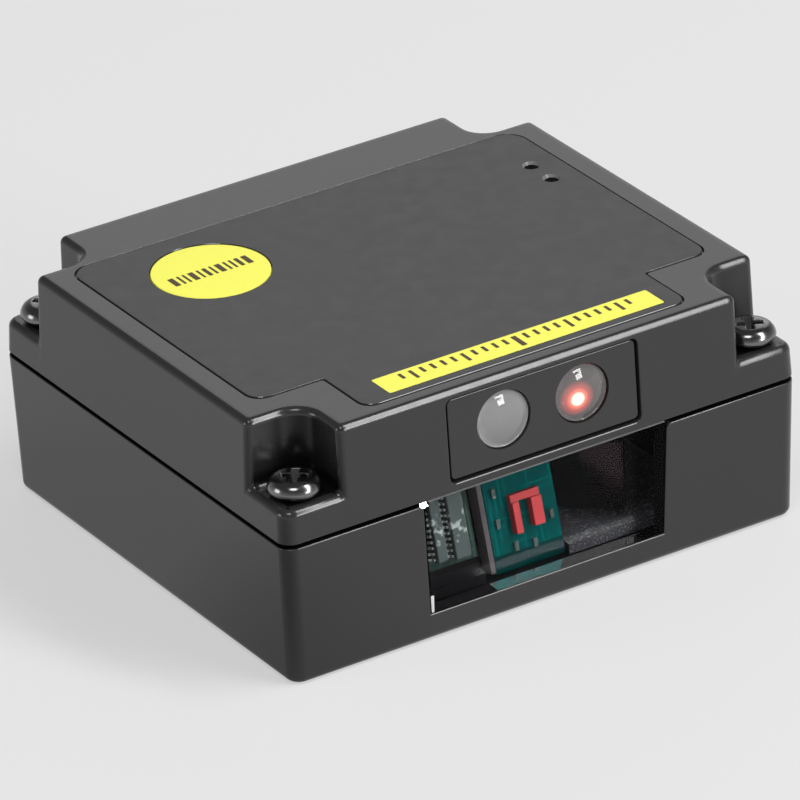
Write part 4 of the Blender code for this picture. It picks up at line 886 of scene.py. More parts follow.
    @staticmethod
    def draw_out(obj: Obj, test: Test, way: Point) -> None:
        """Extrudes the faces that pass a test.

        Args:
            obj: the object.
            test: is given each face.
            way: where to and how far.
        """
        with Bench.editing(obj):
            Bench.pick(obj, Pick.FACES, test)
            bpy.ops.mesh.extrude_region_move(TRANSFORM_OT_translate={"value": way})

    @staticmethod
    def close(obj: Obj) -> None:
        """Fills the small holes that a cut can leave."""
        with Bench.editing(obj):
            bpy.ops.mesh.fill_holes(sides=Bench.hole_sides)

    @staticmethod
    def copy(obj: Obj, name: str, matrix: Matrix) -> Obj:
        """A copy with a mesh of its own, at another place.

        Args:
            obj: the object to copy.
            name: the copy's name.
            matrix: where it goes.

        Returns:
            The copy.
        """
        Bench.use(obj)
        bpy.ops.object.duplicate(linked=False)
        made = bpy.context.active_object
        made.name = name
        return Bench.settle(made, matrix)

    @staticmethod
    def fuse(name: str, parts: list[Obj]) -> Obj:
        """Joins several objects into one, as separate shells.

        Args:
            name: the joined object's name.
            parts: the objects.

        Returns:
            The joined object.
        """
        Bench.use(parts[0])
        for part in parts:
            part.select_set(True)
        bpy.ops.object.join()
        parts[0].name = name
        return parts[0]

    @staticmethod
    def from_node(name: str, node: str) -> Obj:
        """A merged copy of a node's solid, with its flat faces whole.

        Args:
            name: the copy's name.
            node: the node.

        Returns:
            The copy.
        """
        made = bpy.data.objects.new(name, frame["nodes"][node].data.copy())
        bpy.context.scene.collection.objects.link(made)
        made.data.materials.clear()
        with Bench.editing(Bench.tidy(made)):
            bpy.ops.mesh.dissolve_limited(angle_limit=Bench.flat)
        return made


def runs_along(edge: Any, axis: int) -> bool:
    """True for an edge that runs mostly along one axis: 0, 1 or 2 for X, Y or Z."""
    run = edge.verts[1].co - edge.verts[0].co
    return abs(run[axis]) > STEEP * math.hypot(*(run[other] for other in range(3) if other != axis))


def upright(edge: Any) -> bool:
    """True for an edge that runs mostly along Z."""
    return runs_along(edge, 2)


def middle(edge: Any) -> Vector:
    """The middle of an edge."""
    return (edge.verts[0].co + edge.verts[1].co) / 2


def hand_over(
    obj: Obj,
    slot: Slot,
    *nodes: str,
    body: str = HOUSING,
    finish: Finish | None = None,
    smooth: float = 32.0,
) -> Obj:
    """Finishes a piece: smooths it, dresses it, and ties it to its body.

    Args:
        obj: the piece.
        slot: the record's slot that its finish comes from.
        nodes: the nodes that it stands for.
        body: the body that it rides on.
        finish: a finish of its own, or None for the slot's.
        smooth: the angle in degrees up to which edges are smoothed.

    Returns:
        The piece.
    """
    Bench.tidy(obj)
    bpy.ops.object.shade_smooth_by_angle(angle=math.radians(smooth))
    Bench.modify(obj, "WEIGHTED_NORMAL", keep_sharp=True, weight=90)
    obj.data.materials.clear()
    obj.data.materials.append((finish or FINISHES[slot]).material())
    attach(obj, body)
    if nodes:
        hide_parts(*nodes)
    log.info("%s: %d faces on %s", obj.name, len(obj.data.polygons), body)
    return obj


def recoat(obj: Obj, finish: Finish, test: Test) -> None:
    """Gives the faces that pass a test a finish of their own.

    Args:
        obj: the finished piece.
        finish: the faces' finish.
        test: is given each face.
    """
    coats, material = obj.data.materials, finish.material()
    if coats.find(material.name) < 0:
        coats.append(material)
    for face in obj.data.polygons:
        if test(face):
            face.material_index = coats.find(material.name)


# The two shells

@dataclass(frozen=True)
class Case:
    """Sizes that both shells share, and the shapes that they have in common."""

    half_width: float = 24.99 * MM
    half_depth: float = 22.29 * MM
    height: float = 21.89 * MM
    seam: float = 12.8 * MM
    seam_gap: float = 0.43 * MM
    corner_radius: float = 1.3 * MM
    foot_inset: float = 0.32 * MM
    top_inset: float = 0.385 * MM
    cavity_x: float = 23.2 * MM
    cavity_y: float = 20.5 * MM
    pocket_x: float = 19.3 * MM
    pocket_y: float = 16.6 * MM
    pocket_radius: float = 2.2 * MM
    pocket_floor: float = 15.85 * MM
    wall: float = 1.8 * MM
    screw_x: float = 22.15 * MM
    screw_y: float = 19.45 * MM
    tongue_inset: float = 0.95 * MM
    over: float = 3.0 * MM
    bush_x: float = 12.0 * MM
    bush_z: float = 8.6 * MM
    inserts: tuple[Pair, ...] = ((-15.0 * MM, 9.0 * MM), (15.0 * MM, 9.0 * MM))

    @property
    def base_rim(self) -> float:
        """Height of the base's outer rim."""
        return self.seam - self.seam_gap / 2

    @property
    def cover_rim(self) -> float:
        """Height of the cover's outer rim."""
        return self.seam + self.seam_gap / 2

    def screw_spots(self) -> dict[str, Pair]:
        """X and Y of the cover screws, by corner."""
        return {name: (sx * self.screw_x, sy * self.screw_y) for name, (sx, sy) in CORNERS.items()}

    def inset_at(self, height: float) -> float:
        """How far the cover's leaning walls have come in at a height."""
        return self.top_inset * (height - self.seam) / (self.height - self.seam)

    def leaning_block(self, name: str, low: Point, high: Point) -> Obj:
        """A block with leaning walls and round upright edges.

        Args:
            name: its name.
            low: half width, half depth and height of its foot.
            high: half width, half depth and height of its top.

        Returns:
            The block.
        """
        block = Bench.box(name, (-low[0], -low[1], low[2]), (low[0], low[1], high[2]))
        Bench.taper(block, high[2], (high[0] / low[0], high[1] / low[1]))
        return Bench.round_edges(block, upright, self.corner_radius)

    def cut_corners(self, block: Obj, near: Pair, radius: float, low: float, high: float) -> Obj:
        """Cuts off a block's four corners, each along a round inner upright edge.

        Args:
            block: the block.
            near: X and Y of the inner edges, without sign.
            radius: radius of those edges.
            low: height where the cuts start.
            high: height where they end.

        Returns:
            The block.
        """
        far_x, far_y = self.half_width + self.over, self.half_depth + self.over
        for sx, sy in CORNERS.values():
            inner = Vector((sx * near[0], sy * near[1]))
            corner = Bench.box("corner", (*inner, low), (sx * far_x, sy * far_y, high))
            Bench.round_edges(
                corner, lambda edge: upright(edge) and (middle(edge).xy - inner).length < Bench.tiny, radius
            )
            Bench.combine(block, corner)
        return block

    def cavity(self, name: str, near: Pair, radius: float, low: float, high: float) -> Obj:
        """The shape of a shell's inside, which leaves its four corners solid from some X and Y on."""
        inside = Bench.box(name, (-self.cavity_x, -self.cavity_y, low), (self.cavity_x, self.cavity_y, high))
        return self.cut_corners(inside, near, radius, low - MM, high + MM)

    def paint_shade_inside(self, shell: Obj, low: float, high: float) -> None:
        """Makes a shell's inside near-black between two heights, as painted shade for the dark hollow."""
        recoat(shell, FINISHES[Slot.CHASSIS], lambda face: self.is_inside(face, low, high))

    def is_inside(self, face: Face, low: float, high: float) -> bool:
        """True for a face of a shell's inside, apart from the corner blocks.

        Args:
            face: the face.
            low: height of the shell's lowest inner face.
            high: height of its highest inner face.

        Returns:
            Whether it is one.
        """
        x, y = abs(face.center.x), abs(face.center.y)
        within = x < self.cavity_x + SLACK and y < self.cavity_y + SLACK
        corner = x > self.pocket_x - self.wall / 2 and y > self.pocket_y - self.wall / 2
        return within and not corner and low - SLACK < face.center.z < high + SLACK

    def tongue(self, name: str, grow: float, low: float, high: float) -> Obj:
        """The lip that keys the cover to the base, or the wider groove that takes it."""
        wide, deep = (half - self.tongue_inset + grow for half in (self.half_width, self.half_depth))
        return self.leaning_block(name, (wide, deep, low), (wide, deep, high))


CASE = Case()


@dataclass
class CoverShell:
    """The upper shell with its screw pockets, film bed and sensor opening."""

    case: Case = CASE
    edge_round: float = 0.6 * MM
    edge_steps: int = 6
    # painted shade for the screw pockets, darker towards their floors and inner corners
    pocket_paint: PaintedPocketShade = PaintedPocketShade(
        "pocket_paint", (0.006, 0.0057, 0.0058), 0.24, specular=0.4, near=(CASE.pocket_x, CASE.pocket_y),
        far=(CASE.half_width, CASE.half_depth), floor=CASE.pocket_floor,
    )
    lip_round: float = 0.12 * MM
    bed_bevel: float = 0.08 * MM
    support: float = 0.25 * MM
    roof_underside: float = 20.8 * MM
    groove_top: float = 13.5 * MM
    groove_gap: float = 0.15 * MM
    post_radius: float = 2.1 * MM
    post_foot: float = 14.3 * MM
    post_pilot: float = 0.92 * MM
    posts: tuple[Pair, ...] = (
        (-18.5 * MM, -7.0 * MM), (18.5 * MM, -7.0 * MM), (2.0 * MM, 15.5 * MM),
    )
    screw_hole: float = 1.4 * MM
    hole_top: float = 18.0 * MM

    def build(self, overlay: "Overlay", sensor: "TriggerSensor") -> None:
        """Models the shell.

        Args:
            overlay: gives the film's bed and the holes under it.
            sensor: gives the opening in the front wall.
        """
        case = self.case
        start = case.seam - case.over
        low, high = case.inset_at(start), case.inset_at(case.height)
        shell = case.leaning_block(
            "cover_shell",
            (case.half_width - low, case.half_depth - low, start),
            (case.half_width - high, case.half_depth - high, case.height),
        )
        near = (case.pocket_x, case.pocket_y)
        case.cut_corners(shell, near, case.pocket_radius, case.pocket_floor, case.height + MM)
        Bench.soften(shell, self.edge_round, self.edge_steps)
        self.support_edges(shell)
        Bench.cut_off(shell, (0, 0, case.cover_rim), (0, 0, -1))
        self.hollow(shell)
        Bench.combine(shell, sensor.opening())
        Bench.round_edges(shell, sensor.rims, self.lip_round, 3)
        for tool in overlay.bed_tools():
            Bench.combine(shell, tool)
        Bench.round_edges(shell, overlay.is_bed_rim, self.bed_bevel, 1)
        for at in case.screw_spots().values():
            Bench.bore(shell, self.screw_hole, case.seam, self.hole_top, at, 32)
        hand_over(shell, Slot.HOUSING, "top_cover")
        # painted shade: the cover's inside faces are made near-black
        case.paint_shade_inside(shell, case.seam, self.roof_underside)
        # painted shade in the four pockets
        recoat(shell, self.pocket_paint, self.is_pocket)

    def support_edges(self, shell: Obj) -> None:
        """Divides the rounded edges near their ends, so that they shade evenly up to the corners.

        Args:
            shell: the cover with its pockets and rounded edges.
        """
        case, back = self.case, self.edge_round + self.support
        for axis, near, far in ((0, case.pocket_x, case.half_width), (1, case.pocket_y, case.half_depth)):
            bend = near + case.pocket_radius + self.support
            for reach in (near - back, near + self.support, bend, far - case.top_inset - back):
                for side in (-1, 1):
                    facing = Vector((0, 0, 0))
                    facing[axis] = side
                    Bench.score(shell, facing * reach, facing)

    def is_pocket(self, face: Face) -> bool:
        """True for a face of a pocket's walls and floor, up to the rounded edges.

        Args:
            face: the face.

        Returns:
            Whether it is one.
        """
        case, edge = self.case, self.edge_round
        x, y, z = abs(face.center.x), abs(face.center.y), face.center.z
        rim = edge + case.top_inset
        inward = x < case.half_width - rim and y < case.half_depth - rim
        within = x > case.pocket_x - SLACK and y > case.pocket_y - SLACK
        return inward and within and case.pocket_floor - SLACK < z < case.height - edge - SLACK

    def hollow(self, shell: Obj) -> None:
        """Takes out the inside and adds the board posts.

        Args:
            shell: the cover.
        """
        case = self.case
        under = case.cover_rim - MM
        Bench.combine(shell, case.tongue("groove", self.groove_gap, under, self.groove_top))
        near = (case.pocket_x - case.wall, case.pocket_y - case.wall)
        radius = case.pocket_radius + case.wall
        Bench.combine(shell, case.cavity("inside", near, radius, under, self.roof_underside))
        for at in self.posts:
            Bench.stud(shell, self.post_radius, self.post_foot, self.roof_underside + MM / 2, at, 32)
            Bench.bore(shell, self.post_pilot, self.post_foot - MM, self.hole_top, at, 24)


@dataclass
class BaseShell:
    """The lower shell with the window notch, the cable notch and the insert bosses."""

    case: Case = CASE
    foot_round: float = 0.7 * MM
    rim_round: float = 0.25 * MM
    floor: float = 1.6 * MM
    window_foot: float = 2.4 * MM
    window_low: float = 11.45 * MM
    window_high: float = 11.9 * MM
    window_corner: float = 0.5 * MM
    window_depth: float = 4.5 * MM
    window_over: float = 1.5 * MM
    bush_radius: float = 4.25 * MM
    notch_half: float = 4.0 * MM
    notch_share: float = 0.999
    notch_edge: float = 0.99
    notch_steps: int = 20
    corner_wall: float = 0.3 * MM
    tongue_top: float = 13.3 * MM
    tongue_gap: float = 0.6 * MM
    boss_radius: float = 3.3 * MM
    boss_top: float = 6.2 * MM
    insert_hole: float = 2.15 * MM
    insert_depth: float = 4.6 * MM
    ears: tuple[Pair, ...] = ((-16.6 * MM, -8.0 * MM), (20.4 * MM, -13.6 * MM))
    ear_radius: float = 1.9 * MM
    ear_top: float = 4.1 * MM
    ear_pilot: float = 0.92 * MM
    rail: float = 13.2 * MM
    rail_width: float = 1.0 * MM
    rail_sunk: float = 0.5 * MM
    rail_reach: float = 1.3 * MM
    rail_top: float = 11.0 * MM
    screw_pilot: float = 1.32 * MM
    pilot_foot: float = 4.5 * MM

    def build(self) -> None:
        """Models the shell."""
        case = self.case
        inset = case.foot_inset
        shell = case.leaning_block(
            "base_shell",
            (case.half_width - inset, case.half_depth - inset, 0.0),
            (case.half_width, case.half_depth, case.base_rim),
        )
        Bench.round_edges(shell, lambda edge: middle(edge).z < Bench.tiny, self.foot_round, 6)
        Bench.combine(shell, self.window_notch())
        Bench.round_edges(shell, self.is_window_corner, self.window_corner, 5)
        Bench.combine(shell, self.cable_notch())
        Bench.soften(shell, self.rim_round, 4, 50.0)
        self.key_and_hollow(shell)
        self.bosses(shell)
        Bench.close(shell)
        hand_over(shell, Slot.HOUSING, "base_housing")
        # painted shade: the base's inside faces are made near-black
        case.paint_shade_inside(shell, self.floor, case.height)
        # painted shade: the window's side walls are made near-black
        recoat(shell, FINISHES[Slot.CHASSIS], self.is_jamb)

    def is_jamb(self, face: Face) -> bool:
        """True for a face at either side of the window, which is made black as painted shade."""
        across = abs(face.center.x) < self.window_high + self.window_corner
        return across and face.center.y < -self.case.cavity_y and abs(face.normal.x) > SQUARE_ON

    def window_notch(self) -> Obj:
        """The tool for the window: wider at the top than at its sill.

        Returns:
            The tool.
        """
        top = self.case.seam + self.window_over
        front = -self.case.half_depth
        low = (-self.window_low, front - MM, self.window_foot)
        tool = Bench.box("window", low, (self.window_low, front + self.window_depth, top))
        return Bench.taper(tool, top, (self.window_high / self.window_low, 1.0))

    def is_window_corner(self, edge: Any) -> bool:
        """True for the two edges where the notch meets the rim."""
        beside = self.window_low < abs(middle(edge).x) < self.window_high + 2 * SLACK
        return runs_along(edge, 1) and beside and abs(middle(edge).z - self.case.base_rim) < CLOSE

    def cable_notch(self) -> Obj:
        """The tool for the cable bush: round below and open at the rim.

        Returns:
            The tool.
        """
        case, radius = self.case, self.bush_radius
        front, rear = case.half_depth - self.notch_half, case.half_depth + self.notch_half
        low = (case.bush_x - radius, front, case.bush_z - radius)
        tool = Bench.box("cable_notch", low, (case.bush_x + radius, rear, case.height))
        under = case.bush_z - self.notch_edge * radius
        return Bench.round_edges(
            tool,
            lambda edge: middle(edge).z < under and abs(middle(edge).y - case.half_depth) < MM,
            self.notch_share * radius,
            self.notch_steps,
        )

    def key_and_hollow(self, shell: Obj) -> None:
        """Adds the keying lip, open at the window and the cable, and takes out the inside.

        Args:
            shell: the base.
        """
        case = self.case
        lip = case.tongue("lip", 0.0, case.base_rim - MM, self.tongue_top)
        front = self.window_high + self.tongue_gap
        rear, far = self.bush_radius + self.tongue_gap, case.half_width
        for low, high in (
            ((-front, -far, 0), (front, -MM, case.height)),
            ((case.bush_x - rear, MM, 0), (case.bush_x + rear, far, case.height)),
        ):
            Bench.combine(lip, Bench.box("lip_gap", low, high))
        Bench.combine(shell, lip, Join.FUSE)
        near = (case.pocket_x - self.corner_wall, case.pocket_y - self.corner_wall)
        Bench.combine(shell, case.cavity("inside", near, case.pocket_radius, self.floor, case.height))

    def bosses(self, shell: Obj) -> None:
        """Adds the pane rails, insert bosses and ear posts, and bores the holes.

        Args:
            shell: the base.
        """
        case = self.case
        sunk = self.floor / 2
        for side in (-1, 1):
            low = (side * self.rail, -case.cavity_y - self.rail_sunk, sunk)
            high = (side * (self.rail + self.rail_width), self.rail_reach - case.cavity_y, self.rail_top)
            Bench.combine(shell, Bench.box("rail", low, high), Join.FUSE)
        for at in case.inserts:
            Bench.stud(shell, self.boss_radius, sunk, self.boss_top, at, 48)
            Bench.bore(shell, self.insert_hole, -MM, self.insert_depth, at, 48)
        for at in self.ears:
            Bench.stud(shell, self.ear_radius, sunk, self.ear_top, at, 32)
            Bench.bore(shell, self.ear_pilot, sunk, self.ear_top + MM, at, 24)
        for at in case.screw_spots().values():
            Bench.bore(shell, self.screw_pilot, self.pilot_foot, case.height, at, 32)


# Overlay, button and marks

@dataclass
class Overlay:
    """The membrane film in its bed, the scan button, and the printed marks."""

    case: Case = CASE
    side: float = 22.1 * MM
    back: float = 15.5 * MM
    step: float = -13.9 * MM
    tongue: float = 15.6 * MM
    front: float = -20.3 * MM
    rear_radius: float = 2.0 * MM
    side_radius: float = 1.5 * MM
    tongue_radius: float = 1.3 * MM
    inner_radius: float = 0.35 * MM
    film_low: float = 21.7 * MM
    film_high: float = 21.95 * MM
    bed: float = 21.66 * MM
    bed_gap: float = 0.15 * MM
    edge_bevel: float = 0.11 * MM
    button_at: Pair = (-12.64 * MM, 8.26 * MM)
    button_radius: float = 5.05 * MM
    button_gap: float = 0.06 * MM
    button_top: float = 21.93 * MM
    button_sides: int = 96
    stem_radius: float = 1.6 * MM
    stem_foot: float = 18.6 * MM
    flange_radius: float = 5.95 * MM
    flange_low: float = 20.0 * MM
    flange_high: float = 20.7 * MM
    cap_edge: tuple[Pair, ...] = ((0.0, 0.12 * MM), (0.04 * MM, 0.04 * MM), (0.12 * MM, 0.0))
    crown: tuple[Pair, ...] = ((0.6, 0.008 * MM), (0.2, 0.012 * MM))
    hole_gap: float = 0.09 * MM
    hole_foot: float = 19.0 * MM
    bar_widths: tuple[float, ...] = (0.5, 0.22, 0.22, 0.5, 0.22, 0.36, 0.22, 0.5, 0.22, 0.22, 0.36, 0.5)
    bar_gap: float = 0.32 * MM
    bar_half: float = 0.75 * MM
    bar_sunk: float = 0.02 * MM
    bar_rise: float = 0.024 * MM
    lights: tuple[Pair, ...] = ((19.55 * MM, 5.7 * MM), (19.55 * MM, 8.8 * MM))
    light_radius: float = 0.8 * MM
    light_throat: float = 0.62 * MM
    band_low: Pair = (-12.8 * MM, -19.4 * MM)
    band_high: Pair = (13.9 * MM, -16.6 * MM)
    band_thickness: float = 0.03 * MM
    band_corner: float = 0.15 * MM
    band_edge: float = 0.012 * MM
    print_sunk: float = 0.01 * MM
    ink_thickness: float = 0.012 * MM
    ink_corner: float = 0.04 * MM
    tick_pitch: float = 1.0 * MM
    tick_count: int = 11
    tick_group: int = 5
    tick_margin: float = 0.45 * MM
    middle_tick: Pair = (0.24 * MM, 1.9 * MM)
    long_tick: Pair = (0.16 * MM, 1.5 * MM)
    short_tick: Pair = (0.16 * MM, 0.95 * MM)
    slopes: Pair = (0.2, 0.95)
    ink: Printed = Printed("dark_ink", (0.07, 0.045, 0.02), 0.5)
    cut_edge: Coated = Coated("film_edge", (0.03, 0.03, 0.03), 0.14, specular=0.7, gloss_spread=0.03)
    light_wall: Coated = Coated("light_wall", (0.15, 0.15, 0.15), 0.3)

    def outline(self, name: str, grow: float, low: float, high: float) -> Obj:
        """The film's shape, with stepped front corners.

        Args:
            name: its name.
            grow: how far it is widened all round.
            low: its lowest height.
            high: its highest height.

        Returns:
            The shape.
        """
        side, back, front = self.side + grow, self.back + grow, self.front - grow
        step, tongue = self.step - grow, self.tongue + grow
        film = Bench.box(name, (-side, front, low), (side, back, high))
        for sx in (-1, 1):
            Bench.combine(film, Bench.box(
                "step", (sx * tongue, front - MM, low - MM), (sx * (side + MM), step, high + MM)
            ))
        for x, y, radius in (
            (side, back, self.rear_radius), (side, step, self.side_radius),
            (tongue, front, self.tongue_radius), (tongue, step, self.inner_radius),
        ):
            Bench.round_edges(film, lambda edge: self.is_corner(edge, x, y), radius)
        return film

    @staticmethod
    def is_corner(edge: Any, x: float, y: float) -> bool:
        """True for an upright edge at a point in plan, on either side of the middle."""
        at = middle(edge)
        return upright(edge) and math.hypot(abs(at.x) - x, at.y - y) < CLOSE

    def bed_tools(self) -> list[Obj]:
        """What the overlay takes out of the cover: its bed, the button's hole and the light holes.

        Returns:
            The tools.
        """
        top, foot, around = self.case.height + MM, self.hole_foot, self.button_radius + self.hole_gap
        tools = [self.outline("film_bed", self.bed_gap, self.bed, top)]
        tools.append(Bench.rod("button_hole", around, foot, top, self.button_at, self.button_sides))
        tools += [Bench.rod("light_hole", self.light_radius, foot, top, at, 32) for at in self.lights]
        return tools

    def is_bed_rim(self, edge: Any) -> bool:
        """True for an edge where the bed's wall meets the cover's top.

        Args:
            edge: the edge.

        Returns:
            Whether it is one.
        """
        slack = self.bed_gap + SLACK
        for vert in edge.verts:
            x, y, z = abs(vert.co.x), vert.co.y, vert.co.z
            within = x < self.side + slack and self.front - slack < y < self.back + slack
            beside = x > self.tongue + slack and y < self.step - slack
            if not within or beside or abs(z - self.case.height) > Bench.tiny:
                return False
        return True

    def build(self) -> None:
        """Models the film, the button and the marks."""
        film = self.outline("overlay_sheet", 0.0, self.film_low, self.film_high)
        under, over = self.film_low - MM, self.film_high + MM
        Bench.bore(film, self.button_radius + self.button_gap, under, over, self.button_at, self.button_sides)
        Bench.soften(film, self.edge_bevel, 1, 50.0)
        throat, mouth = self.light_throat, self.light_radius
        flare = [(throat, under), (throat, self.film_low), (mouth, self.film_high), (mouth, over)]
        for at in self.lights:
            tool = Bench.turned("film_light", flare, 48)
            Bench.combine(film, Bench.settle(tool, Matrix.Translation((*at, 0))))
        hand_over(film, Slot.OVERLAY, "overlay_film")
        recoat(film, self.cut_edge, self.is_sloped)
        recoat(film, self.light_wall, lambda face: self.is_sloped(face) and self.is_light(face))
        self.build_button()
        self.build_band()

    def is_sloped(self, face: Face) -> bool:
        """True for a face of the film's bevelled edges."""
        return self.slopes[0] < face.normal.z < self.slopes[1]

    def is_light(self, face: Face) -> bool:
        """True for a face in a light hole."""
        return any((face.center.xy - Vector(at)).length < self.light_radius for at in self.lights)

    def build_button(self) -> None:
        """Models the button cap with its flange and stem, and the bars printed on it."""
        top, radius = self.button_top, self.button_radius
        profile = [(self.stem_radius, self.stem_foot), (self.stem_radius, self.flange_low)]
        profile += [(self.flange_radius, self.flange_low), (self.flange_radius, self.flange_high)]
        profile.append((radius, self.flange_high))
        profile += [(radius - inward, top - down) for inward, down in self.cap_edge]
        profile += [(radius * share, top + up) for share, up in self.crown]
        cap = Bench.turned("button_cap", profile, self.button_sides)
        Bench.settle(cap, Matrix.Translation((*self.button_at, 0)))
        hand_over(cap, Slot.YELLOW, "scan_button", body="button")
        x, y = self.button_at
        x -= (sum(self.bar_widths) * MM + self.bar_gap * (len(self.bar_widths) - 1)) / 2
        bars = []
        for width in self.bar_widths:
            low = (x, y - self.bar_half, top - self.bar_sunk)
            bars.append(Bench.box("bar", low, (x + width * MM, y + self.bar_half, top + self.bar_rise)))
            x += width * MM + self.bar_gap
        self.print_marks("button_bars", bars, "button")

    def build_band(self) -> None:
        """Models the yellow band and the scale of ticks printed on it."""
        (left, front), (right, back) = self.band_low, self.band_high
        top = self.film_high + self.band_thickness
        band = Bench.box("marker_band", (left, front, self.film_high - self.print_sunk), (right, back, top))
        Bench.round_edges(band, upright, self.band_corner, 4)
        Bench.soften(band, self.band_edge, 2, 60.0)
        hand_over(band, Slot.YELLOW)
        ticks, end = [], back - self.tick_margin
        for index in range(-self.tick_count, self.tick_count + 1):
            half, reach = self.tick_size(index)
            x = (left + right) / 2 + index * self.tick_pitch
            low = (x - half, end - reach, top - self.print_sunk)
            ticks.append(Bench.box("tick", low, (x + half, end, top + self.ink_thickness)))
        self.print_marks("band_ticks", ticks, HOUSING)

    def tick_size(self, index: int) -> Pair:
        """Half the width, and the length, of a tick that is so many from the middle one."""
        beside = self.short_tick if index % self.tick_group else self.long_tick
        return beside if index else self.middle_tick

    def print_marks(self, name: str, marks: list[Obj], body: str) -> None:
        """Joins printed marks into one piece of ink.

        Args:
            name: its name.
            marks: the marks.
            body: the body that they ride on.
        """
        ink = Bench.fuse(name, marks)
        Bench.round_edges(ink, upright, self.ink_corner, 2)
        hand_over(ink, Slot.YELLOW, body=body, finish=self.ink)


# Fasteners

@dataclass
class CoverScrews:
    """Four pan-head screws with a tapered cross recess, one in each pocket."""

    case: Case = CASE
    seat: float = 15.95 * MM
    head: float = 2.25 * MM
    rise: float = 1.6 * MM
    crown: tuple[Pair, ...] = (
        (0.7, 0.0), (0.8, 0.06), (0.9, 0.17), (0.97, 0.29), (1.0, 0.42), (0.985, 0.54), (0.95, 0.66),
        (0.89, 0.79), (0.81, 0.89), (0.7, 0.96), (0.55, 1.0), (0.3, 1.01),
    )
    shank: float = 1.2 * MM
    length: float = 10.0 * MM
    recess_reach: float = 1.62 * MM
    recess_width: float = 0.8 * MM
    recess_depth: float = 1.15 * MM
    recess_edge: float = 0.08 * MM
    recess_taper: Pair = (0.4, 0.7)
    turns: tuple[float, ...] = (52.0, 63.0, 38.0, 5.0)

    def build(self) -> None:
        """Models one screw and copies it into the pockets, each turned as it was driven home."""
        first = self.screw()
        for (name, spot), turn in zip(self.case.screw_spots().items(), self.turns):
            at = Matrix.Translation((*spot, self.seat)) @ Matrix.Rotation(math.radians(turn), 4, "Z")
            hand_over(Bench.copy(first, f"pan_screw_{name}", at), Slot.STEEL, f"cover_screw_{name}")
        Bench.scrap(first)

    def screw(self) -> Obj:
        """One screw with its seat at Z 0 and its shank downwards.

        Returns:
            The screw.
        """
        shank, rise = self.shank, self.rise
        profile = [(shank / 2, -self.length), (shank, shank - self.length), (shank, 0.0)]
        profile += [(self.head * out, rise * up) for out, up in self.crown]
        screw = Bench.turned("pan_screw", profile, 48)
        reach, half, foot = self.recess_reach, self.recess_width / 2, rise - self.recess_depth
        for turn in (0.0, math.pi / 2):
            wing = Bench.box("wing", (-reach, -half, foot), (reach, half, rise + MM))
            Bench.taper(wing, foot, self.recess_taper)
            Bench.combine(screw, Bench.settle(wing, Matrix.Rotation(turn, 4, "Z")))
        return Bench.soften(screw, self.recess_edge, 2, 45.0)


# Trigger sensor

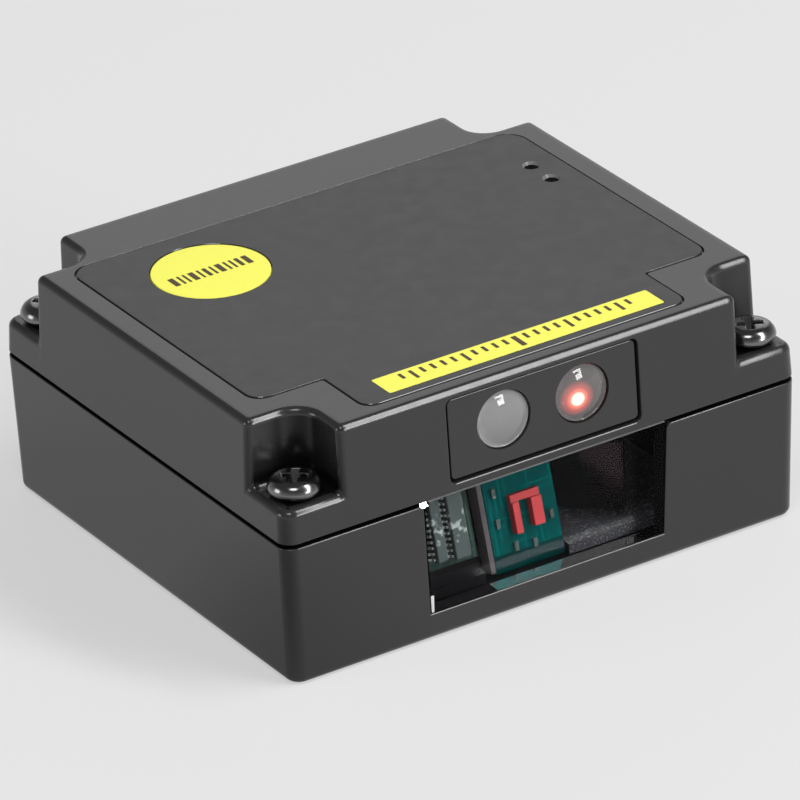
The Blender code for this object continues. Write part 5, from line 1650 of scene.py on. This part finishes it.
@dataclass
class TriggerSensor:
    """The plate above the window with its two lamp lenses, set in the cover's leaning front wall."""

    case: Case = CASE
    height: float = 17.45 * MM
    across: float = 0.15 * MM
    half_width: float = 9.1 * MM
    half_rise: float = 3.55 * MM
    gap: float = 0.1 * MM
    opening_gap: float = 0.2 * MM
    opening_radius: float = 0.6 * MM
    plate_radius: float = 0.45 * MM
    recess: float = 0.18 * MM
    opening_drop: float = 0.08 * MM
    opening_back: float = -3.2 * MM
    opening_front: float = 2.0 * MM
    plate_edge: float = 0.1 * MM
    hole_back: float = -4.0 * MM
    plate_back: float = -2.5 * MM
    flange: float = 0.55 * MM
    flange_side: float = 0.8 * MM
    flange_low: float = -3.9 * MM
    flange_high: float = 3.1 * MM
    lens_x: float = 3.8 * MM
    lens_up: float = 0.3 * MM
    lens_radius: float = 2.5 * MM
    lens_flange: float = 0.4 * MM
    lens_depth: float = 0.65 * MM
    lens_apex: float = 0.17 * MM
    lens_edge: float = -0.36 * MM
    lens_sides: int = 72
    lens_steps: int = 10
    bead: float = 0.13 * MM
    bead_steps: int = 5
    lamp_tip: float = -3.75 * MM
    lamp_radius: float = 2.4 * MM
    lamp_shoulder: float = -8.05 * MM
    lamp_foot: float = -8.75 * MM
    lamp_flange: float = 2.7 * MM
    lamp_sides: int = 48
    lamp_steps: int = 9
    glow_at: Point = (-0.6 * MM, -0.25 * MM, 0.0)
    receiver: Coated = Coated("grey_epoxy", (0.36, 0.36, 0.37), 0.25)
    # painted glow on the emitter lens, standing for its lamp's light
    lit: PaintedGlowLens = PaintedGlowLens("painted_glow_lens", (0.4, 0.38, 0.38), 0.02, haze=0.3)

    def frame(self, x: float = 0.0, y: float = 0.0) -> Matrix:
        """X across, Y up the wall and Z out of it, from the plate's middle or a point beside it.

        Args:
            x: how far across the point is.
            y: how far up the wall it is.

        Returns:
            The frame.
        """
        case = self.case
        lean = math.atan2(case.top_inset, case.height - case.seam)
        at = (self.across, case.inset_at(self.height) - case.half_depth, self.height)
        tilt = Matrix.Rotation(math.pi / 2 - lean, 4, "X")
        return Matrix.Translation(at) @ tilt @ Matrix.Translation((x, y, 0.0))

    def slab(self, name: str, grow: float, radius: float, low: float, high: float) -> Obj:
        """A round-cornered slab on the plate's outline, in the sensor's own frame."""
        wide, tall = self.half_width + grow, self.half_rise + grow
        return Bench.round_edges(Bench.box(name, (-wide, -tall, low), (wide, tall, high)), upright, radius, 6)

    def opening(self) -> Obj:
        """The tool for the opening in the front wall."""
        sizes = (self.opening_gap, self.opening_radius, self.opening_back, self.opening_front)
        return Bench.settle(self.slab("sensor_opening", *sizes), self.frame(y=-self.opening_drop))

    def rims(self, edge: Any) -> bool:
        """True for an edge of the opening that lies in the front wall's face.

        Args:
            edge: the edge.

        Returns:
            Whether it is one.
        """
        local = self.frame().inverted()
        wide, tall = (half + 2 * self.opening_gap for half in (self.half_width, self.half_rise))
        ends = [local @ vert.co for vert in edge.verts]
        return all(abs(end.z) < CLOSE and abs(end.x) < wide and abs(end.y) < tall for end in ends)

    def build(self) -> None:
        """Models the plate, the lenses and the lamps behind them."""
        back = self.plate_back
        plate = self.slab("sensor_face", 0.0, self.plate_radius, back + self.flange / 2, -self.recess)
        Bench.soften(plate, self.plate_edge, 3, 50.0)
        wide = self.half_width + self.flange_side
        low, high = (-wide, self.flange_low, back), (wide, self.flange_high, back + self.flange)
        Bench.combine(plate, Bench.box("flange", low, high), Join.FUSE)
        spots = [(side * self.lens_x, self.lens_up) for side in (-1, 1)]
        for at in spots:
            Bench.bore(plate, self.lens_radius + self.gap, self.hole_back, MM, at, self.lens_sides)
        hand_over(Bench.settle(plate, self.frame()), Slot.HOUSING, "sensor_plate")
        lens, lamp = self.lens(), self.lamp()
        left, right = (self.frame(*at) for at in spots)
        lit = replace(self.lit, centre=tuple(right @ Vector(self.glow_at)))
        hand_over(Bench.copy(lens, "receiver_dome", left), Slot.LENS, "receiver_lens")
        hand_over(Bench.copy(lamp, "receiver_lamp", left), Slot.CHIP, "receiver_diode", finish=self.receiver)
        hand_over(Bench.copy(lens, "emitter_dome", right), Slot.LENS, "emitter_lens", finish=lit)
        hand_over(Bench.copy(lamp, "emitter_lamp", right), Slot.LAMP, "emitter_led")
        Bench.scrap(lens, lamp)

    def lens(self) -> Obj:
        """One domed lens with its flange and a bead round the dome, in its own frame.

        Returns:
            The lens.
        """
        back, radius, half = self.plate_back, self.lens_radius, self.bead / 2
        wide, shoulder, rim = radius + self.lens_flange, back - self.gap, self.lens_edge - self.bead
        profile = [(wide, back - self.lens_depth), (wide, shoulder), (radius, shoulder), (radius, rim)]
        for step in range(1, self.bead_steps):
            turn = math.pi * step / self.bead_steps
            profile.append((radius - half + half * math.cos(turn), rim + self.bead * math.sin(turn)))
        profile += self.dome(radius - self.bead, rim, self.lens_apex, self.lens_steps)
        return Bench.turned("lens", profile, self.lens_sides)

    def lamp(self) -> Obj:
        """One round-nosed lamp with its flange, in its own frame.

        Returns:
            The lamp.
        """
        radius, wide, shoulder = self.lamp_radius, self.lamp_flange, self.lamp_shoulder
        neck = self.lamp_tip - radius
        profile = [(wide, self.lamp_foot), (wide, shoulder), (radius, shoulder), (radius, neck)]
        profile += self.dome(radius, neck, self.lamp_tip, self.lamp_steps)
        return Bench.turned("lamp", profile, self.lamp_sides)

    @staticmethod
    def dome(radius: float, foot: float, apex: float, steps: int) -> list[Pair]:
        """Profile of a round dome, from its foot to just short of its apex.

        Args:
            radius: radius at its foot.
            foot: height of its foot.
            apex: height of its apex.
            steps: how many points it has.

        Returns:
            (radius, height) pairs.
        """
        rise = apex - foot
        ball = (radius**2 + rise**2) / (2 * rise)
        reach = math.asin(min(1.0, radius / ball))
        turns = [reach * (1 - step / (steps + 1)) for step in range(1, steps + 1)]
        return [(ball * math.sin(turn), apex - ball + ball * math.cos(turn)) for turn in turns]


# Window and what shows behind it

@dataclass
class ExitWindow:
    """The clear pane: a plate behind the front wall, with a step that fills the notch almost to its face."""

    case: Case = CASE
    plate_low: Point = (-13.0 * MM, -20.35 * MM, 1.7 * MM)
    plate_high: Point = (13.0 * MM, -19.35 * MM, 13.1 * MM)
    step_foot: float = 2.5 * MM
    step_top: float = 12.85 * MM
    half_low: float = 11.35 * MM
    half_high: float = 11.745 * MM
    step_depth: float = 2.0 * MM
    recess: float = 0.06 * MM
    edge: float = 0.06 * MM
    bevel: float = 0.09 * MM
    facing: Point = (0.0, -0.74, 0.67)
    ear_low: Point = (-12.1 * MM, -1.0 * MM, 12.42 * MM)
    ear_high: Point = (-11.3 * MM, 0.0, 12.93 * MM)
    ear_bevel: float = 0.34 * MM
    foot_glint: Pair = (-11.1 * MM, 4.1 * MM)
    ear_facing: Point = (0.0, -0.85, 0.53)
    ground: Coated = Coated("ground_edge", (0.4, 0.4, 0.405), 0.5, specular=0.2)
    polished: Metal = Metal("polished_edge", (0.92, 0.92, 0.92), 0.16)
    masked_to: float = -4.9 * MM
    overlap: float = 0.05 * MM
    same_way: float = 0.99

    def build(self) -> None:
        """Models the pane, with its upper front edge ground and a polished ear in the seam at its left."""
        half, deep = self.half_low, self.step_depth / 2
        facing = Vector(self.facing).normalized()
        step = Bench.box("step", (-half, -deep, self.step_foot), (half, deep, self.step_top))
        Bench.taper(step, self.step_top, (self.half_high / half, 1.0))
        Bench.cut_off(step, Vector((0, -deep, self.step_top)) - facing * self.bevel, facing)
        Bench.score(step, (self.foot_glint[0], 0, 0), (1, 0, 0))
        Bench.score(step, (0, 0, self.foot_glint[1]), (0, 0, 1))
        Bench.score(step, (self.masked_to, 0, 0), (1, 0, 0))
        lean = Matrix.Rotation(math.atan2(self.case.foot_inset, self.case.base_rim), 4, "X")
        face = self.case.foot_inset - self.case.half_depth + self.recess
        stand = Matrix.Translation((0, face + deep, 0)) @ lean
        pane = Bench.box("window_pane", self.plate_low, self.plate_high)
        Bench.combine(pane, Bench.settle(step, stand), Join.FUSE)
        Bench.soften(pane, self.edge, 2, 70.0)
        (left, _, foot), (right, back, top) = self.ear_low, self.ear_high
        low = (left - MM, -2 * deep, foot + self.overlap)
        room = Bench.box("room", low, (right - self.overlap, back - self.overlap, self.step_top + MM))
        Bench.combine(pane, Bench.settle(room, stand))
        ear_facing = Vector(self.ear_facing).normalized()
        ear = Bench.box("ear", self.ear_low, self.ear_high)
        Bench.cut_off(ear, Vector((0, -deep, top)) - ear_facing * self.ear_bevel, ear_facing)
        Bench.combine(pane, Bench.settle(ear, stand), Join.FUSE)
        hand_over(pane, Slot.PANE, "exit_window")
        recoat(pane, FINISHES[Slot.CHASSIS], self.is_masked)
        recoat(pane, self.ground, lambda face: self.is_top(face) or self.faces(face, lean @ facing))
        recoat(pane, self.polished, lambda face: self.is_glint(face) or self.faces(face, lean @ ear_facing))

    def faces(self, face: Face, way: Vector) -> bool:
        """True for a face that faces one way."""
        return face.normal.dot(way) > self.same_way

    def is_masked(self, face: Face) -> bool:
        """True for the blackened faces: the pane's sides and the left part of its foot."""
        foot = face.normal.z < -SQUARE_ON and face.center.x < self.masked_to
        return foot or abs(face.normal.x) > SQUARE_ON

    def is_top(self, face: Face) -> bool:
        """True for the pane's upper edge."""
        return face.normal.z > SQUARE_ON and face.center.z > self.step_top - MM

    def is_glint(self, face: Face) -> bool:
        """True for the polished strip at the lower left of the pane's face."""
        low = face.center.x < self.foot_glint[0] and face.center.z < self.foot_glint[1]
        return low and face.center.y < self.plate_low[1] - self.edge and face.normal.y < -SQUARE_ON


@dataclass
class Engine:
    """The boards that lean back behind the window, the tray that carries them, the clip and the mirror."""

    foot_y: float = -18.0 * MM
    foot_z: float = 2.92 * MM
    board_half: float = 0.4 * MM
    board_top: float = 8.6 * MM
    board_edge: float = 0.06 * MM
    seat: float = -0.42 * MM
    receiver_x: float = 0.25 * MM
    receiver_half: float = 3.35 * MM
    receiver_foot: float = -1.0 * MM
    chip_size: Point = (0.4 * MM, 0.25 * MM, 0.8 * MM)
    chip_at: tuple[Pair, ...] = (
        (-2.55 * MM, 3.2 * MM), (-2.5 * MM, 5.8 * MM), (-1.2 * MM, 0.9 * MM), (0.6 * MM, 0.7 * MM),
        (2.6 * MM, 2.6 * MM),
    )
    clip_x: Pair = (-1.25 * MM, 1.58 * MM)
    clip_z: Pair = (2.0 * MM, 5.3 * MM)
    clip_slot: Pair = (-0.6 * MM, 0.55 * MM)
    clip_shoulder: float = 4.65 * MM
    clip_short: float = 2.2 * MM
    clip_thickness: float = 0.8 * MM
    clip_ledge: float = 0.25 * MM
    clip_edge: float = 0.07 * MM
    signal_x: float = -8.45 * MM
    signal_half: float = 3.85 * MM
    signal_foot: float = 1.1 * MM
    body_top: float = 7.4 * MM
    body_depth: float = 0.75 * MM
    body_lift: float = 0.1 * MM
    body_edge: float = 0.14 * MM
    bodies: tuple[tuple[str, float, float, float], ...] = (
        ("gain_chip", 0.2 * MM, 1.8 * MM, 1.0 * MM), ("driver_chip", 2.15 * MM, 1.6 * MM, 1.45 * MM),
    )
    lead_pitch: float = 0.5 * MM
    lead_half: float = 0.1 * MM
    lead_thick: float = 0.12 * MM
    lead_rise: float = 0.45 * MM
    lead_reach: float = 0.38 * MM
    lead_root: float = 0.1 * MM
    lead_start: float = 0.6
    lead_edge: float = 0.03 * MM
    posts: tuple[float, ...] = (-12.9 * MM, -3.45 * MM)
    post_half: float = 0.3 * MM
    post_front: float = -16.0 * MM
    tray_top: float = 2.9 * MM
    tray_front: float = -18.9 * MM
    tray_edge: float = 0.07 * MM
    tray_under: float = -0.5
    softened: tuple[tuple[str, str, Slot, str, float], ...] = (
        ("swing_mirror", "scan_mirror", Slot.MIRROR, "mirror", 0.12 * MM),
        ("swing_carrier", "mirror_carrier", Slot.BLACK, "mirror", 0.12 * MM),
        ("laser_tube", "laser_barrel", Slot.BRASS, HOUSING, 0.08 * MM),
    )
    tin: Metal = Metal("tin", (0.36, 0.37, 0.36), 0.5)
    floor_finish: Cast = Cast("grained_casting", (0.034, 0.033, 0.038), 0.7, specular=0.05)
    # painted highlight: lighter grey for the posts of the black casting
    post_painted_highlight: Coated = Coated("grey_post_painted_highlight", (0.095, 0.08, 0.086), 0.5, specular=0.0)

    def stand(self, x: float) -> Matrix:
        """Frame of a leaning board: X across, Z up the board and -Y towards the window."""
        return Matrix.Translation((x, self.foot_y, self.foot_z)) @ Matrix.Rotation(BOARD_LEAN, 4, "X")

    def build(self) -> None:
        """Models the boards, their parts, the clip, the tray and the mirror."""
        self.build_receiver()
        self.build_signal()
        self.build_tray()
        for name, node, slot, body, edge in self.softened:
            hand_over(Bench.soften(Bench.from_node(name, node), edge, 2, 50.0), slot, node, body=body)

    def board(self, name: str, half: float, foot: float) -> Obj:
        """A bare board in its own frame."""
        board = Bench.box(name, (-half, -self.board_half, foot), (half, self.board_half, self.board_top))
        return Bench.soften(board, self.board_edge, 2)

    def build_receiver(self) -> None:
        """Models the teal board with its chip parts, and the red clip on it."""
        stand = self.stand(self.receiver_x)
        board = self.board("teal_board", self.receiver_half, self.receiver_foot)
        hand_over(Bench.settle(board, stand), Slot.TEAL, "receiver_board")
        wide, deep, tall = self.chip_size
        parts = []
        for x, z in self.chip_at:
            low = (x - wide / 2, self.seat - deep, z - tall / 2)
            part = Bench.box("chip_part", low, (x + wide / 2, self.seat, z + tall / 2))
            parts.append(Bench.soften(part, self.board_edge, 2))
        hand_over(Bench.settle(Bench.fuse("receiver_parts", parts), stand), Slot.GREY)
        hand_over(Bench.settle(self.clip(), stand), Slot.CLIP, "filter_clip")

    def clip(self) -> Obj:
        """The red clip: two legs under a bar, with a ledge along the bar's face.

        Returns:
            The clip.
        """
        front, back = self.seat - self.clip_thickness, self.seat
        (left, right), (low, top) = self.clip_x, self.clip_z
        clip = Bench.box("red_clip", (left, front, low), (right, back, top))
        inner, outer = self.clip_slot
        under, past = (inner, front - MM, low - MM), right + MM
        Bench.combine(clip, Bench.box("slot", under, (outer, back + MM, self.clip_shoulder)))
        Bench.combine(clip, Bench.box("short", under, (past, back + MM, self.clip_short)))
        ledge = (left - MM, front - MM, self.clip_shoulder)
        Bench.combine(clip, Bench.box("ledge", ledge, (past, front + self.clip_ledge, top + MM)))
        return Bench.soften(clip, self.clip_edge, 3)

    def build_signal(self) -> None:
        """Models the green board with its two long parts and their leads."""
        stand = self.stand(self.signal_x)
        board = self.board("green_board", self.signal_half, self.signal_foot)
        hand_over(Bench.settle(board, stand), Slot.GREEN, "signal_board")
        leads, one = [], self.lead()
        turn = Matrix.Rotation(math.pi, 4, "Y")
        for node, x, low, wide in self.bodies:
            back = self.seat - self.body_lift
            left, right = x - wide / 2, x + wide / 2
            corner = (left, back - self.body_depth, low)
            body = Bench.box(f"{node}_body", corner, (right, back, self.body_top))
            hand_over(Bench.settle(Bench.soften(body, self.body_edge, 3), stand), Slot.GREY, node)
            for index in range(int((self.body_top - low) / self.lead_pitch)):
                z = low + self.lead_pitch * (index + self.lead_start)
                leads.append(Bench.copy(one, "left_lead", Matrix.Translation((left, self.seat, z)) @ turn))
                leads.append(Bench.copy(one, "right_lead", Matrix.Translation((right, self.seat, z))))
        Bench.scrap(one)
        hand_over(Bench.settle(Bench.fuse("chip_leads", leads), stand), Slot.GREY, finish=self.tin)

    def lead(self) -> Obj:
        """One bent lead for the right of a part: out of its body, down, and flat on the board.

        Returns:
            The lead.
        """
        half, thick, rise, bend = self.lead_half, self.lead_thick, self.lead_rise, self.lead_reach / 2
        lead = Bench.box("lead", (-self.lead_root, -rise, -half), (bend, thick - rise, half))
        Bench.score(lead, (bend - thick, 0, 0), (1, 0, 0))
        Bench.draw_out(
            lead, lambda face: face.normal.y > SQUARE_ON and face.calc_center_median().x > bend - thick,
            (0, rise - thick, 0),
        )
        Bench.score(lead, (0, -thick, 0), (0, 1, 0))
        Bench.draw_out(
            lead, lambda face: face.normal.x > SQUARE_ON and face.calc_center_median().y > -thick,
            (self.lead_reach - bend, 0, 0),
        )
        return Bench.soften(Bench.tidy(lead), self.lead_edge, 2)

    def build_tray(self) -> None:
        """Softens the cast tray, and gives its posts and its floor finishes of their own; the posts' lighter
        grey is a painted highlight.
        """
        tray = Bench.soften(Bench.from_node("cast_tray", "optical_chassis"), self.tray_edge, 2, 45.0)
        Bench.score(tray, (self.posts[1], 0, 0), (1, 0, 0))
        hand_over(tray, Slot.CHASSIS, "optical_chassis")
        recoat(tray, self.floor_finish, self.is_floor)
        # painted highlight: the posts are made lighter than the rest of the casting
        recoat(tray, self.post_painted_highlight, self.is_post)

    def is_post(self, face: Face) -> bool:
        """True for a face of the upright posts beside the boards."""
        near = any(abs(face.center.x - x) < self.post_half for x in self.posts)
        return near and face.center.y < self.post_front and face.center.z > self.tray_top - MM

    def is_floor(self, face: Face) -> bool:
        """True for the upper face and the front edge of the tray's right part.

        Args:
            face: the face.

        Returns:
            Whether it is one.
        """
        level = face.normal.z > SQUARE_ON and abs(face.center.z - self.tray_top) < self.board_edge
        front = face.center.y < self.tray_front and face.center.z < self.tray_top
        right = face.center.x > self.posts[1]
        return right and (level or (front and face.normal.z > self.tray_under))


# Rear and underside

@dataclass
class Hardware:
    """The cable bush in the rear wall and the threaded inserts in the underside."""

    case: Case = CASE
    bush_face: float = 22.15 * MM
    bush_edge: float = 0.09 * MM
    rib_radius: float = 3.6 * MM
    rib: float = 0.22 * MM
    rib_depth: float = 0.2 * MM
    insert_radius: float = 2.05 * MM
    insert_bore: float = 1.25 * MM
    insert_low: float = 0.15 * MM
    insert_high: float = 4.2 * MM
    insert_chamfer: float = 0.1 * MM
    mouth_low: float = 0.25 * MM
    mouth_high: float = 0.2 * MM
    waist_half: float = 0.4 * MM
    waist_depth: float = 0.3 * MM
    thread_pitch: float = 0.5 * MM
    thread_depth: float = 0.12 * MM
    thread_end: float = 0.2 * MM

    def build(self) -> None:
        """Models the bush and both inserts."""
        bush = Bench.from_node("rubber_bush", "cable_bush")
        inner, outer = self.rib_radius - self.rib, self.rib_radius + self.rib
        groove = Bench.turned("groove", [(inner, -MM), (inner, MM), (outer, MM), (outer, -MM)], 48, ring=True)
        at = (self.case.bush_x, self.bush_face + MM - self.rib_depth, self.case.bush_z)
        Bench.settle(groove, Matrix.Translation(at) @ Matrix.Rotation(math.pi / 2, 4, "X"))
        Bench.combine(bush, groove)
        Bench.soften(bush, self.bush_edge, 3, 45.0)
        hand_over(bush, Slot.RUBBER, "cable_bush")
        first = self.insert()
        for side, spot in zip(("left", "right"), self.case.inserts):
            at = Matrix.Translation((*spot, 0.0))
            hand_over(Bench.copy(first, f"threaded_insert_{side}", at), Slot.BRASS, f"mount_insert_{side}")
        Bench.scrap(first)

    def insert(self) -> Obj:
        """One insert: a bore with rings for its thread, and two plain bands with a groove between them.

        Returns:
            The insert.
        """
        low, high, outer, bore = self.insert_low, self.insert_high, self.insert_radius, self.insert_bore
        edge, waist = self.insert_chamfer, outer - self.waist_depth
        under, over = (low + high) / 2 - self.waist_half, (low + high) / 2 + self.waist_half
        profile = [(bore + self.mouth_low, low), (outer - edge, low), (outer, low + edge), (outer, under)]
        profile += [(waist, under), (waist, over), (outer, over), (outer, high - edge), (outer - edge, high)]
        profile.append((bore + self.mouth_high, high))
        for index in range(round((high - low - 2 * self.thread_end) / self.thread_pitch), 0, -1):
            z = low + self.thread_end + index * self.thread_pitch
            profile += [(bore + self.thread_depth, z), (bore, z - self.thread_pitch / 2)]
        return Bench.turned("insert", profile, 40, ring=True)


# Studio

@dataclass(frozen=True)
class Lamp:
    """A softbox that faces the object."""

    name: str
    at: Point
    width: float
    length: float
    power: float
    roll: float = 0.0
    aim: Point = (0.0, 0.0, 10.0 * MM)

    def build(self) -> None:
        """Hangs the lamp."""
        data = bpy.data.lights.new(self.name, "AREA")
        data.shape = "RECTANGLE"
        data.size = self.width
        data.size_y = self.length
        data.energy = self.power
        lamp = bpy.data.objects.new(self.name, data)
        facing = (Vector(self.aim) - Vector(self.at)).to_track_quat("-Z", "Y").to_matrix().to_4x4()
        lamp.matrix_world = Matrix.Translation(self.at) @ facing @ Matrix.Rotation(self.roll, 4, "Z")
        bpy.context.scene.collection.objects.link(lamp)


@dataclass(frozen=True)
class Studio:
    """Pale floor, soft light and the camera."""

    camera_at: Point = (-0.319496, -0.519944, 0.323267)
    forward: Point = (0.465616, 0.757603, -0.457426)
    roll: float = math.radians(-2.6484)
    lens: float = 370.512
    sensor_width: float = 36.0
    floor_size: float = 6.0
    floor_gap: float = 0.02 * MM
    floor_colour: Colour = (0.3, 0.3, 0.305)
    floor_roughness: float = 0.9
    floor_specular: float = 0.1
    floor_glow: float = 0.48
    # painted shadow on the floor near the object's front left, seen only in reflections
    painted_shadow_at: Point = (-0.046, -0.032, 0.0)
    painted_shadow_reach: float = 0.043
    painted_shadow_fade: Pair = (0.3, 0.9)
    world_light: float = 0.12
    horizon_light: float = 0.5
    horizon_reach: float = 0.7
    lamps: tuple[Lamp, ...] = (
        Lamp("key", (0.41, -0.46, 0.62), 0.15, 0.9, 6.2, math.radians(-30.0)),
        Lamp("left_fill", (-0.82, 0.27, 0.27), 0.34, 0.34, 1.4),
        Lamp("overhead", (-0.28, -0.33, 0.86), 0.3, 0.3, 2.4),
        Lamp("rear_card", (1.05, 1.37, 0.82), 1.1, 1.0, 3.0),
        Lamp("catch_light", (0.37, -0.87, 0.255), 0.24, 0.17, 2.2),
    )

    def build(self) -> None:
        """Sets up the floor, the lamps, the world, the camera and the view."""
        self.build_floor()
        self.build_world()
        self.build_camera()
        for lamp in self.lamps:
            lamp.build()
        bpy.context.scene.view_settings.view_transform = "Standard"

    def build_floor(self) -> None:
        """Lays the floor, whose pale tone is partly its own and shows to every ray that looks at it; in
        reflections it fades near the object's front left, a painted shadow.
        """
        Bench.use()
        bpy.ops.mesh.primitive_plane_add(size=self.floor_size, location=(0, 0, -self.floor_gap))
        floor = bpy.context.active_object
        floor.name = "floor"
        material = bpy.data.materials.new("pale_floor")
        graph = Graph(material)
        graph.shade(Base_Color=self.floor_colour, Roughness=self.floor_roughness)
        graph.shade(Specular_IOR_Level=self.floor_specular)
        kinds = ("Is Camera Ray", "Is Glossy Ray", "Is Transmission Ray")
        camera, glossy, clear = (graph.node("ShaderNodeLightPath", output=kind) for kind in kinds)
        # painted shadow: the floor's glow in reflections fades near the object
        dim = graph.fade(graph.apart(self.painted_shadow_at) / self.painted_shadow_reach, *self.painted_shadow_fade)
        glow = graph.blend(camera | clear, graph.blend(glossy, BLACK, dim), WHITE)
        graph.shade(Emission_Color=glow, Emission_Strength=self.floor_glow)
        floor.data.materials.append(material)

    def build_world(self) -> None:
        """Fills the surroundings with dim light, which is stronger towards the horizon."""
        world = bpy.data.worlds.new("studio")
        world.use_nodes = True
        bpy.context.scene.world = world
        nodes, links = world.node_tree.nodes, world.node_tree.links
        place, split = nodes.new("ShaderNodeTexCoord"), nodes.new("ShaderNodeSeparateXYZ")
        fade = nodes.new("ShaderNodeMapRange")
        fade.interpolation_type = "SMOOTHSTEP"
        levels = {"From Max": self.horizon_reach, "To Min": self.horizon_light, "To Max": self.world_light}
        for key, value in levels.items():
            fade.inputs[key].default_value = value
        background = nodes["Background"].inputs
        background["Color"].default_value = (1.0, 1.0, 1.0, 1.0)
        links.new(place.outputs["Generated"], split.inputs[0])
        links.new(split.outputs["Z"], fade.inputs["Value"])
        links.new(fade.outputs[0], background["Strength"])

    def build_camera(self) -> None:
        """Places the camera at the photograph's angle."""
        forward = Vector(self.forward).normalized()
        level = forward.cross(Vector((0, 0, 1))).normalized()
        up = level.cross(forward)
        right = level * math.cos(self.roll) + up * math.sin(self.roll)
        axes = Matrix((right, right.cross(forward), -forward)).transposed()
        data = bpy.data.cameras.new("photo_camera")
        data.lens = self.lens
        data.sensor_width = self.sensor_width
        camera = bpy.data.objects.new("photo_camera", data)
        camera.matrix_world = Matrix.Translation(self.camera_at) @ axes.to_4x4()
        bpy.context.scene.collection.objects.link(camera)
        bpy.context.scene.camera = camera


def dress_nodes() -> None:
    """Gives every node that is still shown its slot's finish."""
    slots = {part["node"]: Slot(part["material_slot"]) for part in frame["record"]["subparts"]}
    for name, node in frame["nodes"].items():
        for place in node.material_slots:
            place.material = FINISHES[slots[name]].material()


def main() -> None:
    """Builds every sub-assembly and the studio."""
    logging.basicConfig(level=logging.INFO, format="%(name)s %(message)s")
    dress_nodes()
    overlay = Overlay()
    sensor = TriggerSensor()
    CoverShell().build(overlay, sensor)
    BaseShell().build()
    overlay.build()
    CoverScrews().build()
    sensor.build()
    ExitWindow().build()
    Engine().build()
    Hardware().build()
    Studio().build()


if __name__ == "__main__":
    main()
